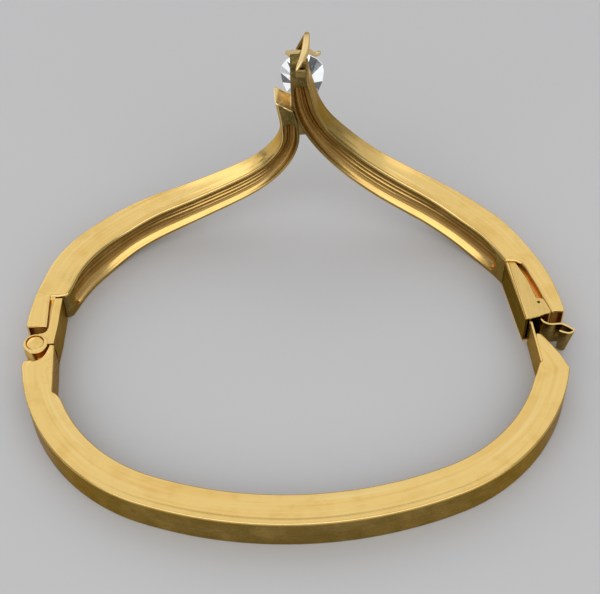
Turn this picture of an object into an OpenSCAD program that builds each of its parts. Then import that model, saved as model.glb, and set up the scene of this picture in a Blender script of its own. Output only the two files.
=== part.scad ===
/* [Oval] */
// Half the outer width, from the middle to the outside of the hinge or the clasp
half_w = 31; // [30.8:0.1:31.2]
// Outer radius of the oval at the hinge and at the clasp
end_r = 27; // [26.5:0.1:27.5]
// Outer radius of the four shoulders
shoulder_r = 21.7; // [21.4:0.1:22]
// Angle from the end at which the shoulder begins
end_turn = 14; // [13:0.5:15]
// Angle from the end at which the flat front or back begins
shoulder_turn = 69; // [68:0.5:70]

/* [Band] */
// Thickness of the metal between wrist and outside
band_t = 3.6; // [3.5:0.05:3.7]
// Height of the band along the wearer's arm
band_h = 4.2; // [4.1:0.05:4.3]
// Bevel on the long edges of the band
band_bevel = 0.3; // [0.1:0.05:0.5]

/* [Hinge] */
// Distance of the pin's axis from the outside of the oval
pin_inset = 1.35; // [1.3:0.01:1.4]
// Outer diameter of the knuckles
knuckle_d = 2.6; // [2.5:0.05:2.6]
// Diameter of the pin
pin_d = 1.1; // [0.9:0.05:1.2]
// Diameter of the pin's two heads
head_d = 1.9; // [1.7:0.05:1.95]
// Thickness of each head of the pin
head_t = 0.3; // [0.2:0.05:0.4]
// Clearance all round the pin and between the knuckles
hinge_gap = 0.08; // [0.05:0.01:0.1]
// Distance of each half's end face from the pin's axis
end_back = 2.1; // [2.1:0.05:2.3]
// Length of each hinge leaf from the pin's axis
leaf_l = 6.4; // [6.2:0.1:6.6]

/* [Clasp] */
// Thickness of the box walls
box_t = 0.28; // [0.25:0.01:0.3]
// Thickness of the tongue and of the spring leaf
sheet_t = 0.25; // [0.2:0.01:0.26]
// Height of the tongue and of the spring leaf
sheet_h = 3.2; // [2.8:0.1:3.4]
// Thickness of the arm's outer strip beside the box
strip_t = 1.5; // [1.4:0.05:1.6]
// Radius of the bead that the spring leaf turns on
bead_r = 0.2; // [0.15:0.01:0.22]
// Diameter of the small hole in the top of the box
peep_d = 0.35; // [0.2:0.05:0.5]

/* [Stone] */
// Width of the pear cut stone
stone_w = 5.1; // [4.8:0.1:5.2]
// Length of the stone from its round end to its point
stone_l = 8; // [7.8:0.05:8.1]
// Depth of the stone below its girdle
pavilion_d = 2.1; // [1.9:0.05:2.2]
// Height of the stone above its girdle
crown_h = 0.75; // [0.6:0.05:0.8]
// Half thickness of the girdle
girdle_t = 0.06; // [0.04:0.01:0.08]

/* [Hidden] */
$fn = 48;
gold = [0.86, 0.68, 0.33];
ice = [0.86, 0.94, 0.98];
cut = 0.5;
over = 8;

// Plan of the oval: three arcs in each quarter that run smoothly into each other
function unit(a) = [cos(a), sin(a)];
end_c = [half_w - end_r, 0];
shoulder_c = end_c + (end_r - shoulder_r) * unit(end_turn);
back_r = shoulder_r + shoulder_c.x / cos(shoulder_turn);
back_c = [0, shoulder_c.y - (back_r - shoulder_r) * sin(shoulder_turn)];

// A point of the oval's wall. Turn is the direction that the wall faces, with 0 at
// the clasp and 180 at the hinge, and depth is counted inwards from the outside.
function wall(turn, depth) =
    let (q = min(turn, 180 - turn),
         c = q < end_turn ? end_c : q < shoulder_turn ? shoulder_c : back_c,
         r = q < end_turn ? end_r : q < shoulder_turn ? shoulder_r : back_r,
         p = c + (r - depth) * unit(q))
    turn > 90 ? [-p.x, p.y] : p;

// Lengths of the three arcs along the middle of the wall
mid_t = band_t / 2;
degree = PI / 180;
end_l = (end_r - mid_t) * end_turn * degree;
shoulder_l = (shoulder_r - mid_t) * (shoulder_turn - end_turn) * degree;
back_l = (back_r - mid_t) * (90 - shoulder_turn) * degree;
quarter_l = end_l + shoulder_l + back_l;

// Turn of the wall at a length s from the clasp, measured along the middle of the wall
function turn_at(s) =
    s > quarter_l ? 180 - turn_at(2 * quarter_l - s)
    : s < end_l ? s / (end_r - mid_t) / degree
    : s < end_l + shoulder_l ? end_turn + (s - end_l) / (shoulder_r - mid_t) / degree
    : shoulder_turn + (s - end_l - shoulder_l) / (back_r - mid_t) / degree;

// Rows of each arm from its foot to its tip. The columns are the length along the
// wall from the arm's own end of the oval, the height of the arm's middle, its width,
// its thickness and the depth of its outer face below the outside of the wall.
left_rows = [
    [2.1, 2.1, 4.2, 3.6, 0],
    [8, 2.2, 4.4, 3.6, 0],
    [12, 2.55, 5.1, 3.6, 0],
    [16.5, 2.6, 5.2, 3.6, 0],
    [20.5, 3, 4.5, 3.6, 0],
    [25, 3.75, 4.35, 3.3, 0.3],
    [30, 4.8, 3.9, 3, 0.55],
    [35, 6.6, 3.55, 2.8, 0.75],
    [38.4, 8.6, 3.1, 2.7, 0.85],
    [40.6, 11.1, 2.75, 2.7, 0.85],
    [41.65, 13.8, 2.6, 2.7, 0.85],
    [41.7, 16.8, 2.6, 2.8, 0.75],
    [41.55, 20.8, 2.3, 3, 0.55]
];
right_rows = [
    [2.1, 2.1, 4.2, 3.6, 0],
    [7, 2.15, 4.3, 3.6, 0],
    [12, 2.3, 4.6, 3.6, 0],
    [16, 2.65, 5.2, 3.6, 0],
    [20.3, 3.6, 4.7, 3.6, 0],
    [25, 5.25, 4.5, 3.5, 0.15],
    [29.3, 7.2, 4.3, 3.4, 0.25],
    [33, 9.6, 3.9, 3.3, 0.35],
    [36, 12.4, 3.5, 3.3, 0.35],
    [38.2, 15.2, 3, 3.3, 0.4],
    [39.5, 17.8, 2.8, 3.3, 0.4],
    [40.1, 20.2, 2.7, 3.3, 0.35],
    [40.4, 22.6, 2.3, 3, 0.5],
    [40.5, 24.4, 2.1, 2.1, 0.85],
    [40.55, 25.5, 1.9, 1.2, 1.2]
];
// Sections made for each row of an arm
row_steps = 3;
// First and last row of the groove in each arm's inner face
left_groove = [1.15, 11.2];
right_groove = [2.3, 12];
// Rows that a groove's rounded end takes
groove_end = 0.35;
// Width and depth of the groove as shares of the arm's width and thickness
groove_width = 0.68;
groove_depth = 0.4;
// Bevel on the long edges of the arms
arm_bevel = 0.22;

// A smooth curve through rows of any number of columns, at row t
function smooth(rows, t) =
    let (last = len(rows) - 1, i = min(floor(t), last - 1), f = t - i,
         a = rows[max(i - 1, 0)], b = rows[i], c = rows[i + 1], d = rows[min(i + 2, last)])
    b + f * ((c - a) / 2 + f * ((a - 2.5 * b + 2 * c - d / 2) + f * (1.5 * (b - c) + (d - a) / 2)));

// Share of the groove's full depth at row t: zero outside it, and rounded at its ends
function groove(ends, t) =
    let (f = min((t - ends[0]) / groove_end, (ends[1] - t) / groove_end, 1))
    f <= 0 ? 0 : sqrt(1 - (1 - f) * (1 - f));

// Outline of an arm as points [across, depth], from the ridge in the middle of the
// groove over the rim and the side to the outer face, and back on the other side
function arm_outline(w, t, g) =
    let (rim = groove_width * w, low = t - groove_depth * t * g, ridge = t - 0.7 * groove_depth * t * g,
         half = [
             [0, ridge], [0.26 * rim, ridge], [0.4 * rim, low], [0.84 * rim, low], [rim, t],
             [w - arm_bevel, t], [w, t - arm_bevel], [w, arm_bevel], [w - arm_bevel, 0]])
    concat(half, [for (i = [len(half) - 1 : -1 : 1]) [-half[i].x, half[i].y]]);

// Position in space of a point [across, depth] of an arm at row t
function arm_point(rows, t, p, side) =
    let (row = smooth(rows, t), way = smooth(rows, t + 0.02) - smooth(rows, t - 0.02),
         n = [way[0], way[1]] / norm([way[0], way[1]]),
         q = wall(turn_at(row[0] - n.y * p.x), p.y + row[4]))
    [side * q.x, q.y, max(row[1] + n.x * p.x, 0)];

// Closed solid through rings of the same number of points
module skin(rings, flip = false) {
    n = len(rings[0]);
    last = len(rings) - 1;
    points = [for (ring = rings, p = ring) p];
    sides = [for (k = [0 : last - 1], i = [0 : n - 1], half = [0, 1])
        let (a = k * n + i, b = k * n + (i + 1) % n)
        half == 0 ? [a, b, b + n] : [a, b + n, a + n]];
    caps = [[for (i = [n - 1 : -1 : 0]) i], [for (i = [0 : n - 1]) last * n + i]];
    faces = concat(sides, caps);
    polyhedron(points, flip ? [for (f = faces) [for (i = [len(f) - 1 : -1 : 0]) f[i]]] : faces);
}

// One arm of the top half, swept along the wall and up to its tip
module arm(rows, ends, side) {
    near = 0.02;
    rings = [for (k = [0 : (len(rows) - 1) * row_steps])
        let (t = min(max(k / row_steps, near), len(rows) - 1 - near), row = smooth(rows, t))
        [for (p = arm_outline(row[2] / 2, row[3], groove(ends, t))) arm_point(rows, t, p, side)]];
    skin(rings, side > 0);
}

// Rod through rows of [x, y, z, half width, half height], with the width across the
// direction up and the height along it
module rod(rows, up) {
    sides = 8;
    last = len(rows) - 1;
    rings = [for (k = [0 : last])
        let (a = rows[max(k - 1, 0)], b = rows[min(k + 1, last)], r = rows[k],
             way = [b.x - a.x, b.y - a.y, b.z - a.z], u = cross(way, up), across = u / norm(u),
             v = cross(across, way), high = v / norm(v))
        [for (i = [0 : sides - 1])
            let (c = cos((i + 0.5) * 360 / sides), s = sin((i + 0.5) * 360 / sides))
            [r.x, r.y, r.z] + across * (r[3] * c) + high * (r[4] * s)]];
    skin(rings);
}

// Upright wall over a plan, from one height to another
module upright(plan, from, to) translate([0, 0, from]) linear_extrude(to - from) polygon(plan);

// Plan of a bent sheet of thickness t along a line of points
function sheet_plan(line, t) =
    let (last = len(line) - 1,
         side = [for (i = [0 : last])
             let (a = line[max(i - 1, 0)], b = line[min(i + 1, last)], w = (b - a) / norm(b - a),
                  e = i == 0 || i == last ? 1 : norm(b - a) / (norm(b - line[i]) + norm(line[i] - a)))
             [-w.y, w.x] * t / 2 / e])
    concat([for (i = [0 : last]) line[i] + side[i]], [for (i = [last : -1 : 0]) line[i] - side[i]]);

// Hinge: the top half has the lowest and the highest knuckle and the back half the middle one
hinge_x = pin_inset - half_w;
knuckle_h = (band_h - 2 * hinge_gap) / 3;
middle_z = knuckle_h + hinge_gap;
top_z = 2 * middle_z;
leaf_x = hinge_x + knuckle_d / 2 - 0.1;
leaf_t = 1.15;
leaf_gap = 0.15;
bore_d = pin_d + 2 * hinge_gap;
web_w = knuckle_d / 2 + 0.1;
// Plan of the top half's leaf, which lies against the inner side of the left arm
leaf_plan = [
    [leaf_x - 0.1, 0], [leaf_x - 0.1, end_back + 0.4], [leaf_x + 0.05, leaf_l],
    [leaf_x + leaf_t + 0.25, leaf_l], [leaf_x + leaf_t - 0.2, 0]
];

module at_hinge(z = 0) translate([hinge_x, 0, z]) children();

// A knuckle with the web that joins it to the leaf, above or below the axis in plan
module knuckle(z, way) {
    at_hinge(z) cylinder(d = knuckle_d, h = knuckle_h);
    at_hinge(z) translate([0, way > 0 ? 0 : -web_w, 0]) cube([web_w, web_w, knuckle_h]);
}

// Room that a knuckle of the other half turns in
module knuckle_room(z) at_hinge(z - hinge_gap)
    cylinder(d = knuckle_d + 3 * hinge_gap, h = knuckle_h + 2 * hinge_gap);

module pin_bore() {
    at_hinge(-cut) cylinder(d = bore_d, h = band_h + 2 * cut);
    for (z = [-cut, band_h - head_t - hinge_gap])
        at_hinge(z) cylinder(d = head_d + 2 * hinge_gap, h = head_t + hinge_gap + cut);
}

// Clasp: plan of the box, the notch that it sits in and the tongue
box_inner = [[25.3, 10], [26.3, 1.6]];
box_outer = [[26.6, 9.94], [29.25, 2.3]];
box_floor_y = 7.7;
// Block that joins the box's outer wall to the strip beside it, and the tab that
// holds the back of the box in the end of its notch
box_block = [[28.3, 4.2], [29.6, 4.2], [29.9, end_back + 0.05], [29, end_back + 0.05]];
box_tab = [[25.6, 9.8], [26.5, 9.8], [26.5, 11], [25.6, 11]];
peep_at = [28.2, 3.6];
tongue_line = [[27.4, -5], [26.6, 6.3]];
bead = [tongue_line[1].x + sheet_t / 2 + bead_r - 0.03, tongue_line[1].y - 0.1];
curl_r = bead_r + 0.09 + sheet_t / 2;
sheet_z = (band_h - sheet_h) / 2;

// Point of a line of two points at height y, moved sideways by dx
function at_y(line, y, dx = 0) =
    let (f = (y - line[0].y) / (line[1].y - line[0].y)) [line[0].x + f * (line[1].x - line[0].x) + dx, y];

module clasp_box() {
    slant = 1.06;
    wall_x = box_t * slant;
    difference() {
        union() {
            upright([box_inner[0], box_inner[1], box_outer[1], box_outer[0]], 0, band_h);
            upright(box_block, 0, band_h);
            upright(box_tab, 0.5, 3.4);
        }
        upright([
            at_y(box_inner, box_floor_y, wall_x), at_y(box_inner, 0, wall_x),
            at_y(box_outer, 0, -wall_x), at_y(box_outer, box_floor_y, -wall_x)], box_t, band_h - box_t);
        translate([peep_at.x, peep_at.y, band_h - box_t - cut]) cylinder(d = peep_d, h = 2 * cut + box_t);
    }
}

// Notches cut in the inner side of the arms for the hinge leaf and for the box
notch_end = leaf_l + 0.45;
box_notch_end = 10.7;
module hinge_notch() upright(
    [[leaf_x, -over / 2], [leaf_x + 0.15, notch_end], [leaf_x + over, notch_end], [leaf_x + over, -over / 2]],
    -cut, over);
module box_notch() upright(
    concat([for (t = [-6 : 3 : 20]) wall(t, strip_t)],
        [[27.4, 9.9], [26.5, box_notch_end], [20, box_notch_end], [20, -over]]),
    -cut, over);

// Oblique cut across the left arm's tip, and the sunk face inside its rim
tip_at = [-1.38, 18, 20.2];
tip_tilt = 34.4;
tip_recess = [1.35, 2.35, 0.7];
module tip_cut() translate(tip_at) rotate([0, tip_tilt, 0]) {
    translate([-over / 2, 0, 0]) cube(over);
    translate([0.28, 3.5, -tip_recess.z]) cube([tip_recess.x, tip_recess.y, over]);
}

// Setting: place of the middle of the stone's round end, on the plane of its girdle
stone_x = 1.78;
stone_y = 27;
stone_z = 19.85;

// Claws of the setting, from the arms round the stone to its face. The columns are
// the offset from the stone's middle to the right, outwards and up, and the two
// half thicknesses.
side_claw = [
    [0.3, -3.2, 4.3, 0.34, 0.3], [0.7, -2.2, 4.05, 0.34, 0.3], [1.35, -0.9, 3.3, 0.33, 0.3],
    [1.85, 0.3, 2.6, 0.32, 0.28], [1.85, 0.95, 2.05, 0.3, 0.24], [1.65, 1.05, 1.65, 0.16, 0.12]
];
point_claw = [
    [0, -3.4, -3.4, 0.4, 0.4], [0, -2.2, -4.8, 0.38, 0.36], [0, -0.9, -5.75, 0.36, 0.32],
    [0, 0.3, -5.95, 0.34, 0.3], [0, 0.9, -5.5, 0.3, 0.24], [0, 0.95, -5, 0.16, 0.12]
];
// The blade over the arm's top end, in the same columns but from the origin
blade_rows = [
    [1.05, 21.2, 24.85, 0.1, 0.1], [1.3, 21.6, 25.1, 0.22, 0.28], [1.85, 22.6, 25.5, 0.38, 0.45],
    [2.15, 23.8, 25.75, 0.42, 0.5], [2.3, 25, 25.95, 0.4, 0.48], [2.38, 26.2, 25.95, 0.36, 0.42],
    [2.4, 26.8, 25.9, 0.2, 0.22]
];
function from_stone(rows, side = 1) =
    [for (r = rows) [stone_x + side * r.x, stone_y + r.y, stone_z + r.z, r[3], r[4]]];

// Post behind the stone, with a seat that its point sinks into
module seat() {
    post_r = 1.25;
    post_l = 2.15;
    rim_t = 0.3;
    sink = 0.7;
    rim_y = 25.15;
    translate([stone_x - 0.1, rim_y, stone_z - 0.2]) rotate([90, 0, 0]) difference() {
        cylinder(r = post_r, h = post_l);
        translate([0, 0, -cut]) cylinder(r = post_r - rim_t, h = sink + cut);
    }
}

module top_half() color(gold) difference() {
    union() {
        difference() {
            union() {
                difference() {
                    arm(left_rows, left_groove, -1);
                    tip_cut();
                }
                arm(right_rows, right_groove, 1);
            }
            hinge_notch();
            box_notch();
        }
        difference() {
            upright(leaf_plan, 0, band_h);
            knuckle_room(middle_z);
        }
        for (z = [0, top_z]) knuckle(z, 1);
        clasp_box();
        seat();
        rod(blade_rows, [0, 0, 1]);
        rod(from_stone(point_claw), [1, 0, 0]);
        for (side = [-1, 1]) rod(from_stone(side_claw, side), [0, 0, 1]);
    }
    pin_bore();
}

// The plain band of the back half, swept round the front of the oval
module band() {
    turns = 90;
    t = band_t;
    h = band_h;
    e = band_bevel;
    outline = [[e, 0], [t - e, 0], [t, e], [t, h - e], [t - e, h], [e, h], [0, h - e], [0, e]];
    skin([for (k = [0 : turns])
        [for (p = outline) let (q = wall(180 * k / turns, p.x)) [q.x, -q.y, p.y]]]);
}

// What the plan of the back half's two ends leaves out of the plain band: the room
// round the knuckles, the inner side of the leaf, and both sides of the tongue
leaf_in = hinge_x + knuckle_d / 2 + 0.8;
leaf_foot = leaf_l + 0.55;
tongue_out = [[30.35, -4.6], [27.72, -0.4], [26, 0.3], [26, 2], [33, 2], [33, -4.6]];
tongue_in = concat(
    [for (y = [-4.85, 1]) at_y(tongue_line, y, -sheet_t / 2)], [[24, 1], [24, -6], [26.75, -6]]);
module band_ends() {
    knuckle_side = leaf_x - 0.25;
    room = [[-half_w - 1, -end_back], [knuckle_side, -end_back], [knuckle_side, 1], [-half_w - 1, 1]];
    face = [[leaf_x - 1, -leaf_gap], [leaf_in + 2, -leaf_gap], [leaf_in + 2, 1], [leaf_x - 1, 1]];
    inner = [
        [leaf_in, -leaf_gap], [leaf_in + 0.45, -leaf_l], [leaf_in + 1.05, -leaf_foot],
        [leaf_in + 4, -leaf_foot], [leaf_in + 4, 1], [leaf_in, 1]];
    for (plan = [room, face, inner, tongue_in, tongue_out]) upright(plan, -cut, over);
}

module back_half() color(gold) difference() {
    union() {
        difference() {
            band();
            band_ends();
            for (z = [0, top_z]) knuckle_room(z);
        }
        knuckle(middle_z, -1);
        upright(sheet_plan(tongue_line, sheet_t), sheet_z, sheet_z + sheet_h);
        translate([bead.x, bead.y, sheet_z]) cylinder(r = bead_r, h = sheet_h);
    }
    at_hinge(-cut) cylinder(d = bore_d, h = band_h + 2 * cut);
}

module hinge_pin() color(gold) {
    play = 0.03;
    at_hinge(play) cylinder(d = pin_d, h = band_h - 2 * play);
    for (z = [play, band_h - play - head_t]) at_hinge(z) cylinder(d = head_d, h = head_t);
}

// Spring leaf curled round the bead, out of the box's mouth to the folded thumb tab
leaf_line = concat(
    [for (a = [110 : -20 : -50]) bead + curl_r * unit(a)],
    [[27.6, 4.2], [28.2, 2.3], [28.5, 1.4], [29.1, 0.85], [30.7, 0.75], [31.6, 0.2], [31.9, -0.15],
     [31.85, -0.5], [31.5, -0.7], [30.9, -0.5], [30.25, -0.3]]);

module catch_leaf() color(gold)
    upright(sheet_plan(leaf_line, sheet_t), sheet_z, sheet_z + sheet_h);

// Outline of the pear: a half circle above, and two wide arcs that meet in the point
stone_r = stone_w / 2;
point_l = stone_l - stone_r;
side_r = (point_l * point_l + stone_r * stone_r) / stone_w;
side_angle = asin(point_l / side_r);
function pear(f) =
    f < 0.5 ? stone_r * unit(360 * f)
    : f < 0.75 ? let (a = side_angle * (f - 0.5) * 4) [side_r - stone_r - side_r * cos(a), -side_r * sin(a)]
    : let (a = side_angle * (1 - f) * 4) [stone_r - side_r + side_r * cos(a), -side_r * sin(a)];

// Levels of the cut: share of the outline, height over the girdle, half steps of turn
stone_levels = [
    [0.04, -pavilion_d, 0], [0.55, -0.5 * pavilion_d, 1], [1, -girdle_t, 0], [1, girdle_t, 0],
    [0.8, 0.62 * crown_h, 1], [0.58, crown_h, 0]
];

module stone() color(ice) translate([stone_x, stone_y, stone_z]) {
    sides = 16;
    rings = [for (level = stone_levels) [for (i = [0 : sides - 1])
        let (p = pear(((i + level[2] / 2) / sides) % 1) * level[0]) [p.x, level[1], p.y]]];
    skin(rings);
}

top_half();
back_half();
hinge_pin();
catch_leaf();
stone();
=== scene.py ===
import math

import bpy
import numpy as np
from mathutils import Matrix


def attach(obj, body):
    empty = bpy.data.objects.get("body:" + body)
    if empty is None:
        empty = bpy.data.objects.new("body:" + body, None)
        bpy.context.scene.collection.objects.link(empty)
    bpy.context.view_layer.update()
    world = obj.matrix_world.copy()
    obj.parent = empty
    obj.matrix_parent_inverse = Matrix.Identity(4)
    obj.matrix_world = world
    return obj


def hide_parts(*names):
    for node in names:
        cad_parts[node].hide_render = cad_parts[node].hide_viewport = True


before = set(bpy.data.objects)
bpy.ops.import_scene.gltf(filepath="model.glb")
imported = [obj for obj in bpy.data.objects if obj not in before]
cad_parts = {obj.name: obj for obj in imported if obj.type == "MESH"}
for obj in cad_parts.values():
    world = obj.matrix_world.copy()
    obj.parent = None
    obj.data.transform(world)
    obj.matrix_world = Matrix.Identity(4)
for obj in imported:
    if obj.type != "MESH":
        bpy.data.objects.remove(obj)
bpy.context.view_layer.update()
print("frame loaded:", sorted(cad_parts))

milli = 0.001  # lengths are in millimetres until makeMesh turns them into metres


# Materials

class Wire:
    # A socket of a shader tree that can be used in sums
    def __init__(self, tree, socket=None):
        self.tree, self.socket = tree, socket

    def node(self, kind, settings=None, sockets=None, output=0):
        # Any node: its type, then its settings, then the values or wires of its sockets
        made = self.tree.nodes.new("ShaderNode" + kind)
        for name, value in (settings or {}).items():
            setattr(made, name, value)
        for name, value in (sockets or {}).items():
            socket = made.inputs[name]
            if isinstance(value, Wire):
                self.tree.links.new(value.socket, socket)
            else:
                socket.default_value = (*value, 1) if socket.type == "RGBA" else value
        return Wire(self.tree, made.outputs[output] if len(made.outputs) else None)

    def sum(self, operation, *values):
        return self.node("Math", {"operation": operation}, dict(enumerate(values)))

    def __add__(self, other):
        return self.sum("ADD", self, other)

    def __mul__(self, other):
        return self.sum("MULTIPLY", self, other)

    __radd__ = __add__
    __rmul__ = __mul__

    def ramp(self, low, high, most=1.0):
        # 0 up to low, most from high on, smooth between them; low may be the larger one
        return self.node("MapRange", {"interpolation_type": "SMOOTHSTEP"}, {
            "Value": self, "From Min": low, "From Max": high, "To Max": most})

    def tint(self, first, second):
        # First colour where the wire is 0, second where it is 1
        return self.node("Mix", {"data_type": "RGBA"}, {0: self, 6: first, 7: second}, output=2)


def emptyTree(owner):
    # Start of the shader tree of a material or a world
    owner.use_nodes = True
    owner.node_tree.nodes.clear()
    return Wire(owner.node_tree)


goldValues = {
    "bright": (0.93, 0.655, 0.235),
    "pale": (0.97, 0.755, 0.34),
    "warm": (0.80, 0.51, 0.145),
    # Patina in hollows, also used as painted shade and as a painted reflection of a dark floor
    "patinaAndShade": (0.13, 0.093, 0.028),
    # Amber: a painted warm reflection in hollows, slots and at the hinge
    "warmReflection": (0.86, 0.38, 0.06),
    # Satin: a rougher finish whose paler colour is a painted highlight
    "satinAndSheen": (1.0, 0.83, 0.47),
    "edgeTint": (0.92, 0.68, 0.37),
    "amberStrength": 0.85,
    "streakStretch": 0.05,
    "streakFineness": 2.1,
    "streaks": (1.0, 3.0, 0.5),  # scale, detail and roughness of each noise
    "patches": (420.0, 3.0, 0.55),
    "specks": (3200.0, 2.0, 0.5),
    "streakHeight": 0.000002,
    "waveHeight": 0.000012,
    # Masks: 0 at the first number, and the third number at the second
    "warmStreaks": (0.5, 0.36, 0.4),
    "warmPatches": (0.45, 0.72, 0.45),
    "warmSpecks": (0.62, 0.74, 0.25),
    "paleStreaks": (0.54, 0.68, 0.55),
    "patinaShadePatches": (0.2, 0.6, 0.2),
    "patinaShadeSpecks": (0.3, 0.6, 0.1),
    "patinaShadeLeast": 0.78,
    "satinAmounts": (-0.1, -0.9),
    # Roughness of the polish, and what streaks, the patina and painted shade, the amber and the satin add to
    # it
    "roughness": 0.13,
    "streakRoughness": (0.3, 0.7, 0.13),
    "patinaRoughness": 0.08,
    "amberRoughness": 0.3,
    "satinRoughness": 0.3,
}


def makeGold(name, values):
    # Polished gold: paler and warmer lines run along each piece, broad soft unevenness
    # lies under them, and an olive brown patina darkens the hollows; the same colour is
    # also painted shade and a painted reflection of a dark floor. Amber is a painted warm
    # reflection. Where the patina amount is below nought the surface is satin, whose paler
    # colour is a painted highlight
    material = bpy.data.materials.new(name)
    start = emptyTree(material)
    along, across, patinaShadeAmount, warmReflection = (
        start.node("Attribute", {"attribute_name": key}, output=2)
        for key in ("along", "across", "patinaShadeAmount", "warmReflection"))
    place = start.node("TexCoord", output=3)
    lengthwise = start.node("CombineXYZ", sockets={
        "X": along * values["streakStretch"], "Y": across * values["streakFineness"]})
    streaks, patches, specks = (
        start.node("TexNoise", sockets={
            "Vector": vector, "Scale": fine, "Detail": detail, "Roughness": rough})
        for vector, (fine, detail, rough) in zip(
            (lengthwise, place, place), (values[key] for key in ("streaks", "patches", "specks"))))
    warmth = (streaks.ramp(*values["warmStreaks"]) + patches.ramp(*values["warmPatches"])
              + specks.ramp(*values["warmSpecks"]))
    clean = warmth.tint(values["bright"], values["warm"])
    lit = streaks.ramp(*values["paleStreaks"]).tint(clean, values["pale"])
    satinAndSheen = patinaShadeAmount.ramp(*values["satinAmounts"])
    lit = satinAndSheen.tint(lit, values["satinAndSheen"])
    patinaShadeShare = patinaShadeAmount * (patches.ramp(*values["patinaShadePatches"]) + specks.ramp(*values["patinaShadeSpecks"])
                     + values["patinaShadeLeast"])
    dulled = patinaShadeShare.tint(lit, values["patinaAndShade"])
    colour = (warmReflection * values["amberStrength"]).tint(dulled, values["warmReflection"])
    roughness = (streaks.ramp(*values["streakRoughness"]) + values["roughness"]
                 + patinaShadeShare * values["patinaRoughness"] + warmReflection * values["amberRoughness"]
                 + satinAndSheen * values["satinRoughness"])
    lines = start.node("Bump", sockets={"Height": streaks, "Distance": values["streakHeight"]})
    surface = start.node("Bump", sockets={
        "Height": patches, "Distance": values["waveHeight"], "Normal": lines})
    shader = start.node("BsdfPrincipled", sockets={
        "Base Color": colour, "Metallic": 1.0, "Roughness": roughness, "Normal": surface,
        "Specular Tint": values["edgeTint"]})
    start.node("OutputMaterial", sockets={"Surface": shader})
    return material


stoneValues = {
    "tint": (0.07, 0.08, 0.1),
    "deep": (0.012, 0.015, 0.02),
    "shade": (0.14, 0.155, 0.17),
    "flash": (0.95, 0.98, 1.0),
    "glow": 0.55,
    "index": 1.62,
    # Masks on how much a facet flashes
    "tinted": (0.05, 0.4),
    "thrown": (0.45, 0.58, 0.88),
    "lit": (0.65, 0.85),
}


def makeStoneMaterial(name, values):
    # Clear cut stone, as the attribute flash says: below a half the facets let the light
    # through, with a dark tint as painted shade; about 0.6 they are grey, painted shade, and
    # above 0.85 they are a white mirror that glows, a painted glint
    material = bpy.data.materials.new(name)
    start = emptyTree(material)
    flash = start.node("Attribute", {"attribute_name": "flash"}, output=2)
    clear = start.node("BsdfPrincipled", sockets={
        "Base Color": flash.ramp(*values["tinted"]).tint(values["deep"], values["tint"]),
        "Transmission Weight": 1.0, "Roughness": 0.0, "IOR": values["index"]})
    lit = flash.ramp(*values["lit"])
    mirror = start.node("BsdfPrincipled", sockets={
        "Base Color": lit.tint(values["shade"], values["flash"]), "Metallic": lit, "Roughness": 0.12,
        "Emission Color": lit.tint((0, 0, 0), values["flash"]), "Emission Strength": values["glow"]})
    mixed = start.node("MixShader", sockets={0: flash.ramp(*values["thrown"]), 1: clear, 2: mirror})
    start.node("OutputMaterial", sockets={"Surface": mixed})
    return material


gold = makeGold("polishedGold", goldValues)
clearStone = makeStoneMaterial("clearStone", stoneValues)
print("materials made")


# Meshes

sharpAngle = math.radians(38)  # edges that bend more than this stay sharp


def addToScene(name, data):
    thing = bpy.data.objects.new(name, data)
    bpy.context.scene.collection.objects.link(thing)
    return thing


def volumeOf(points, faces):
    # Signed volume inside a closed mesh: a sixth of the sum of triple products over its triangles
    total = 0.0
    for block in faces:
        for k in range(1, block.shape[1] - 1):
            a, b, c = points[block[:, 0]], points[block[:, k]], points[block[:, k + 1]]
            total += np.einsum("ij,ij->i", a, np.cross(b, c)).sum() / 6
    return total


def makeMesh(name, points, faces, material, smooth=True, values=None, facets=None):
    # One mesh from points in millimetres and blocks of faces with equal numbers of
    # corners; values are one number for each point, facets one for each face
    if volumeOf(points, faces) < 0:
        faces = [block[:, ::-1] for block in faces]
    corners = np.concatenate([block.ravel() for block in faces]).astype(np.int32)
    sizes = np.concatenate([np.full(len(block), block.shape[1]) for block in faces])
    starts = np.concatenate([[0], np.cumsum(sizes)[:-1]]).astype(np.int32)
    mesh = bpy.data.meshes.new(name)
    mesh.vertices.add(len(points))
    mesh.vertices.foreach_set("co", (points * milli).astype(np.float32).ravel())
    mesh.loops.add(len(corners))
    mesh.loops.foreach_set("vertex_index", corners)
    mesh.polygons.add(len(sizes))
    mesh.polygons.foreach_set("loop_start", starts)
    mesh.update(calc_edges=True)
    mesh.polygons.foreach_set("use_smooth", np.full(len(sizes), smooth))
    for domain, given in (("POINT", values), ("FACE", facets)):
        for key, value in (given or {}).items():
            layer = mesh.attributes.new(key, "FLOAT", domain)
            layer.data.foreach_set("value", np.ascontiguousarray(value, dtype=np.float32))
    mesh.validate()
    mesh.materials.append(material)
    piece = addToScene(name, mesh)
    if smooth:
        # Flat faces shade flat and their round edges smoothly
        mesh.set_sharp_from_angle(angle=sharpAngle)
        shading = piece.modifiers.new("evenShading", "WEIGHTED_NORMAL")
        shading.keep_sharp = True
    return piece


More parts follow.
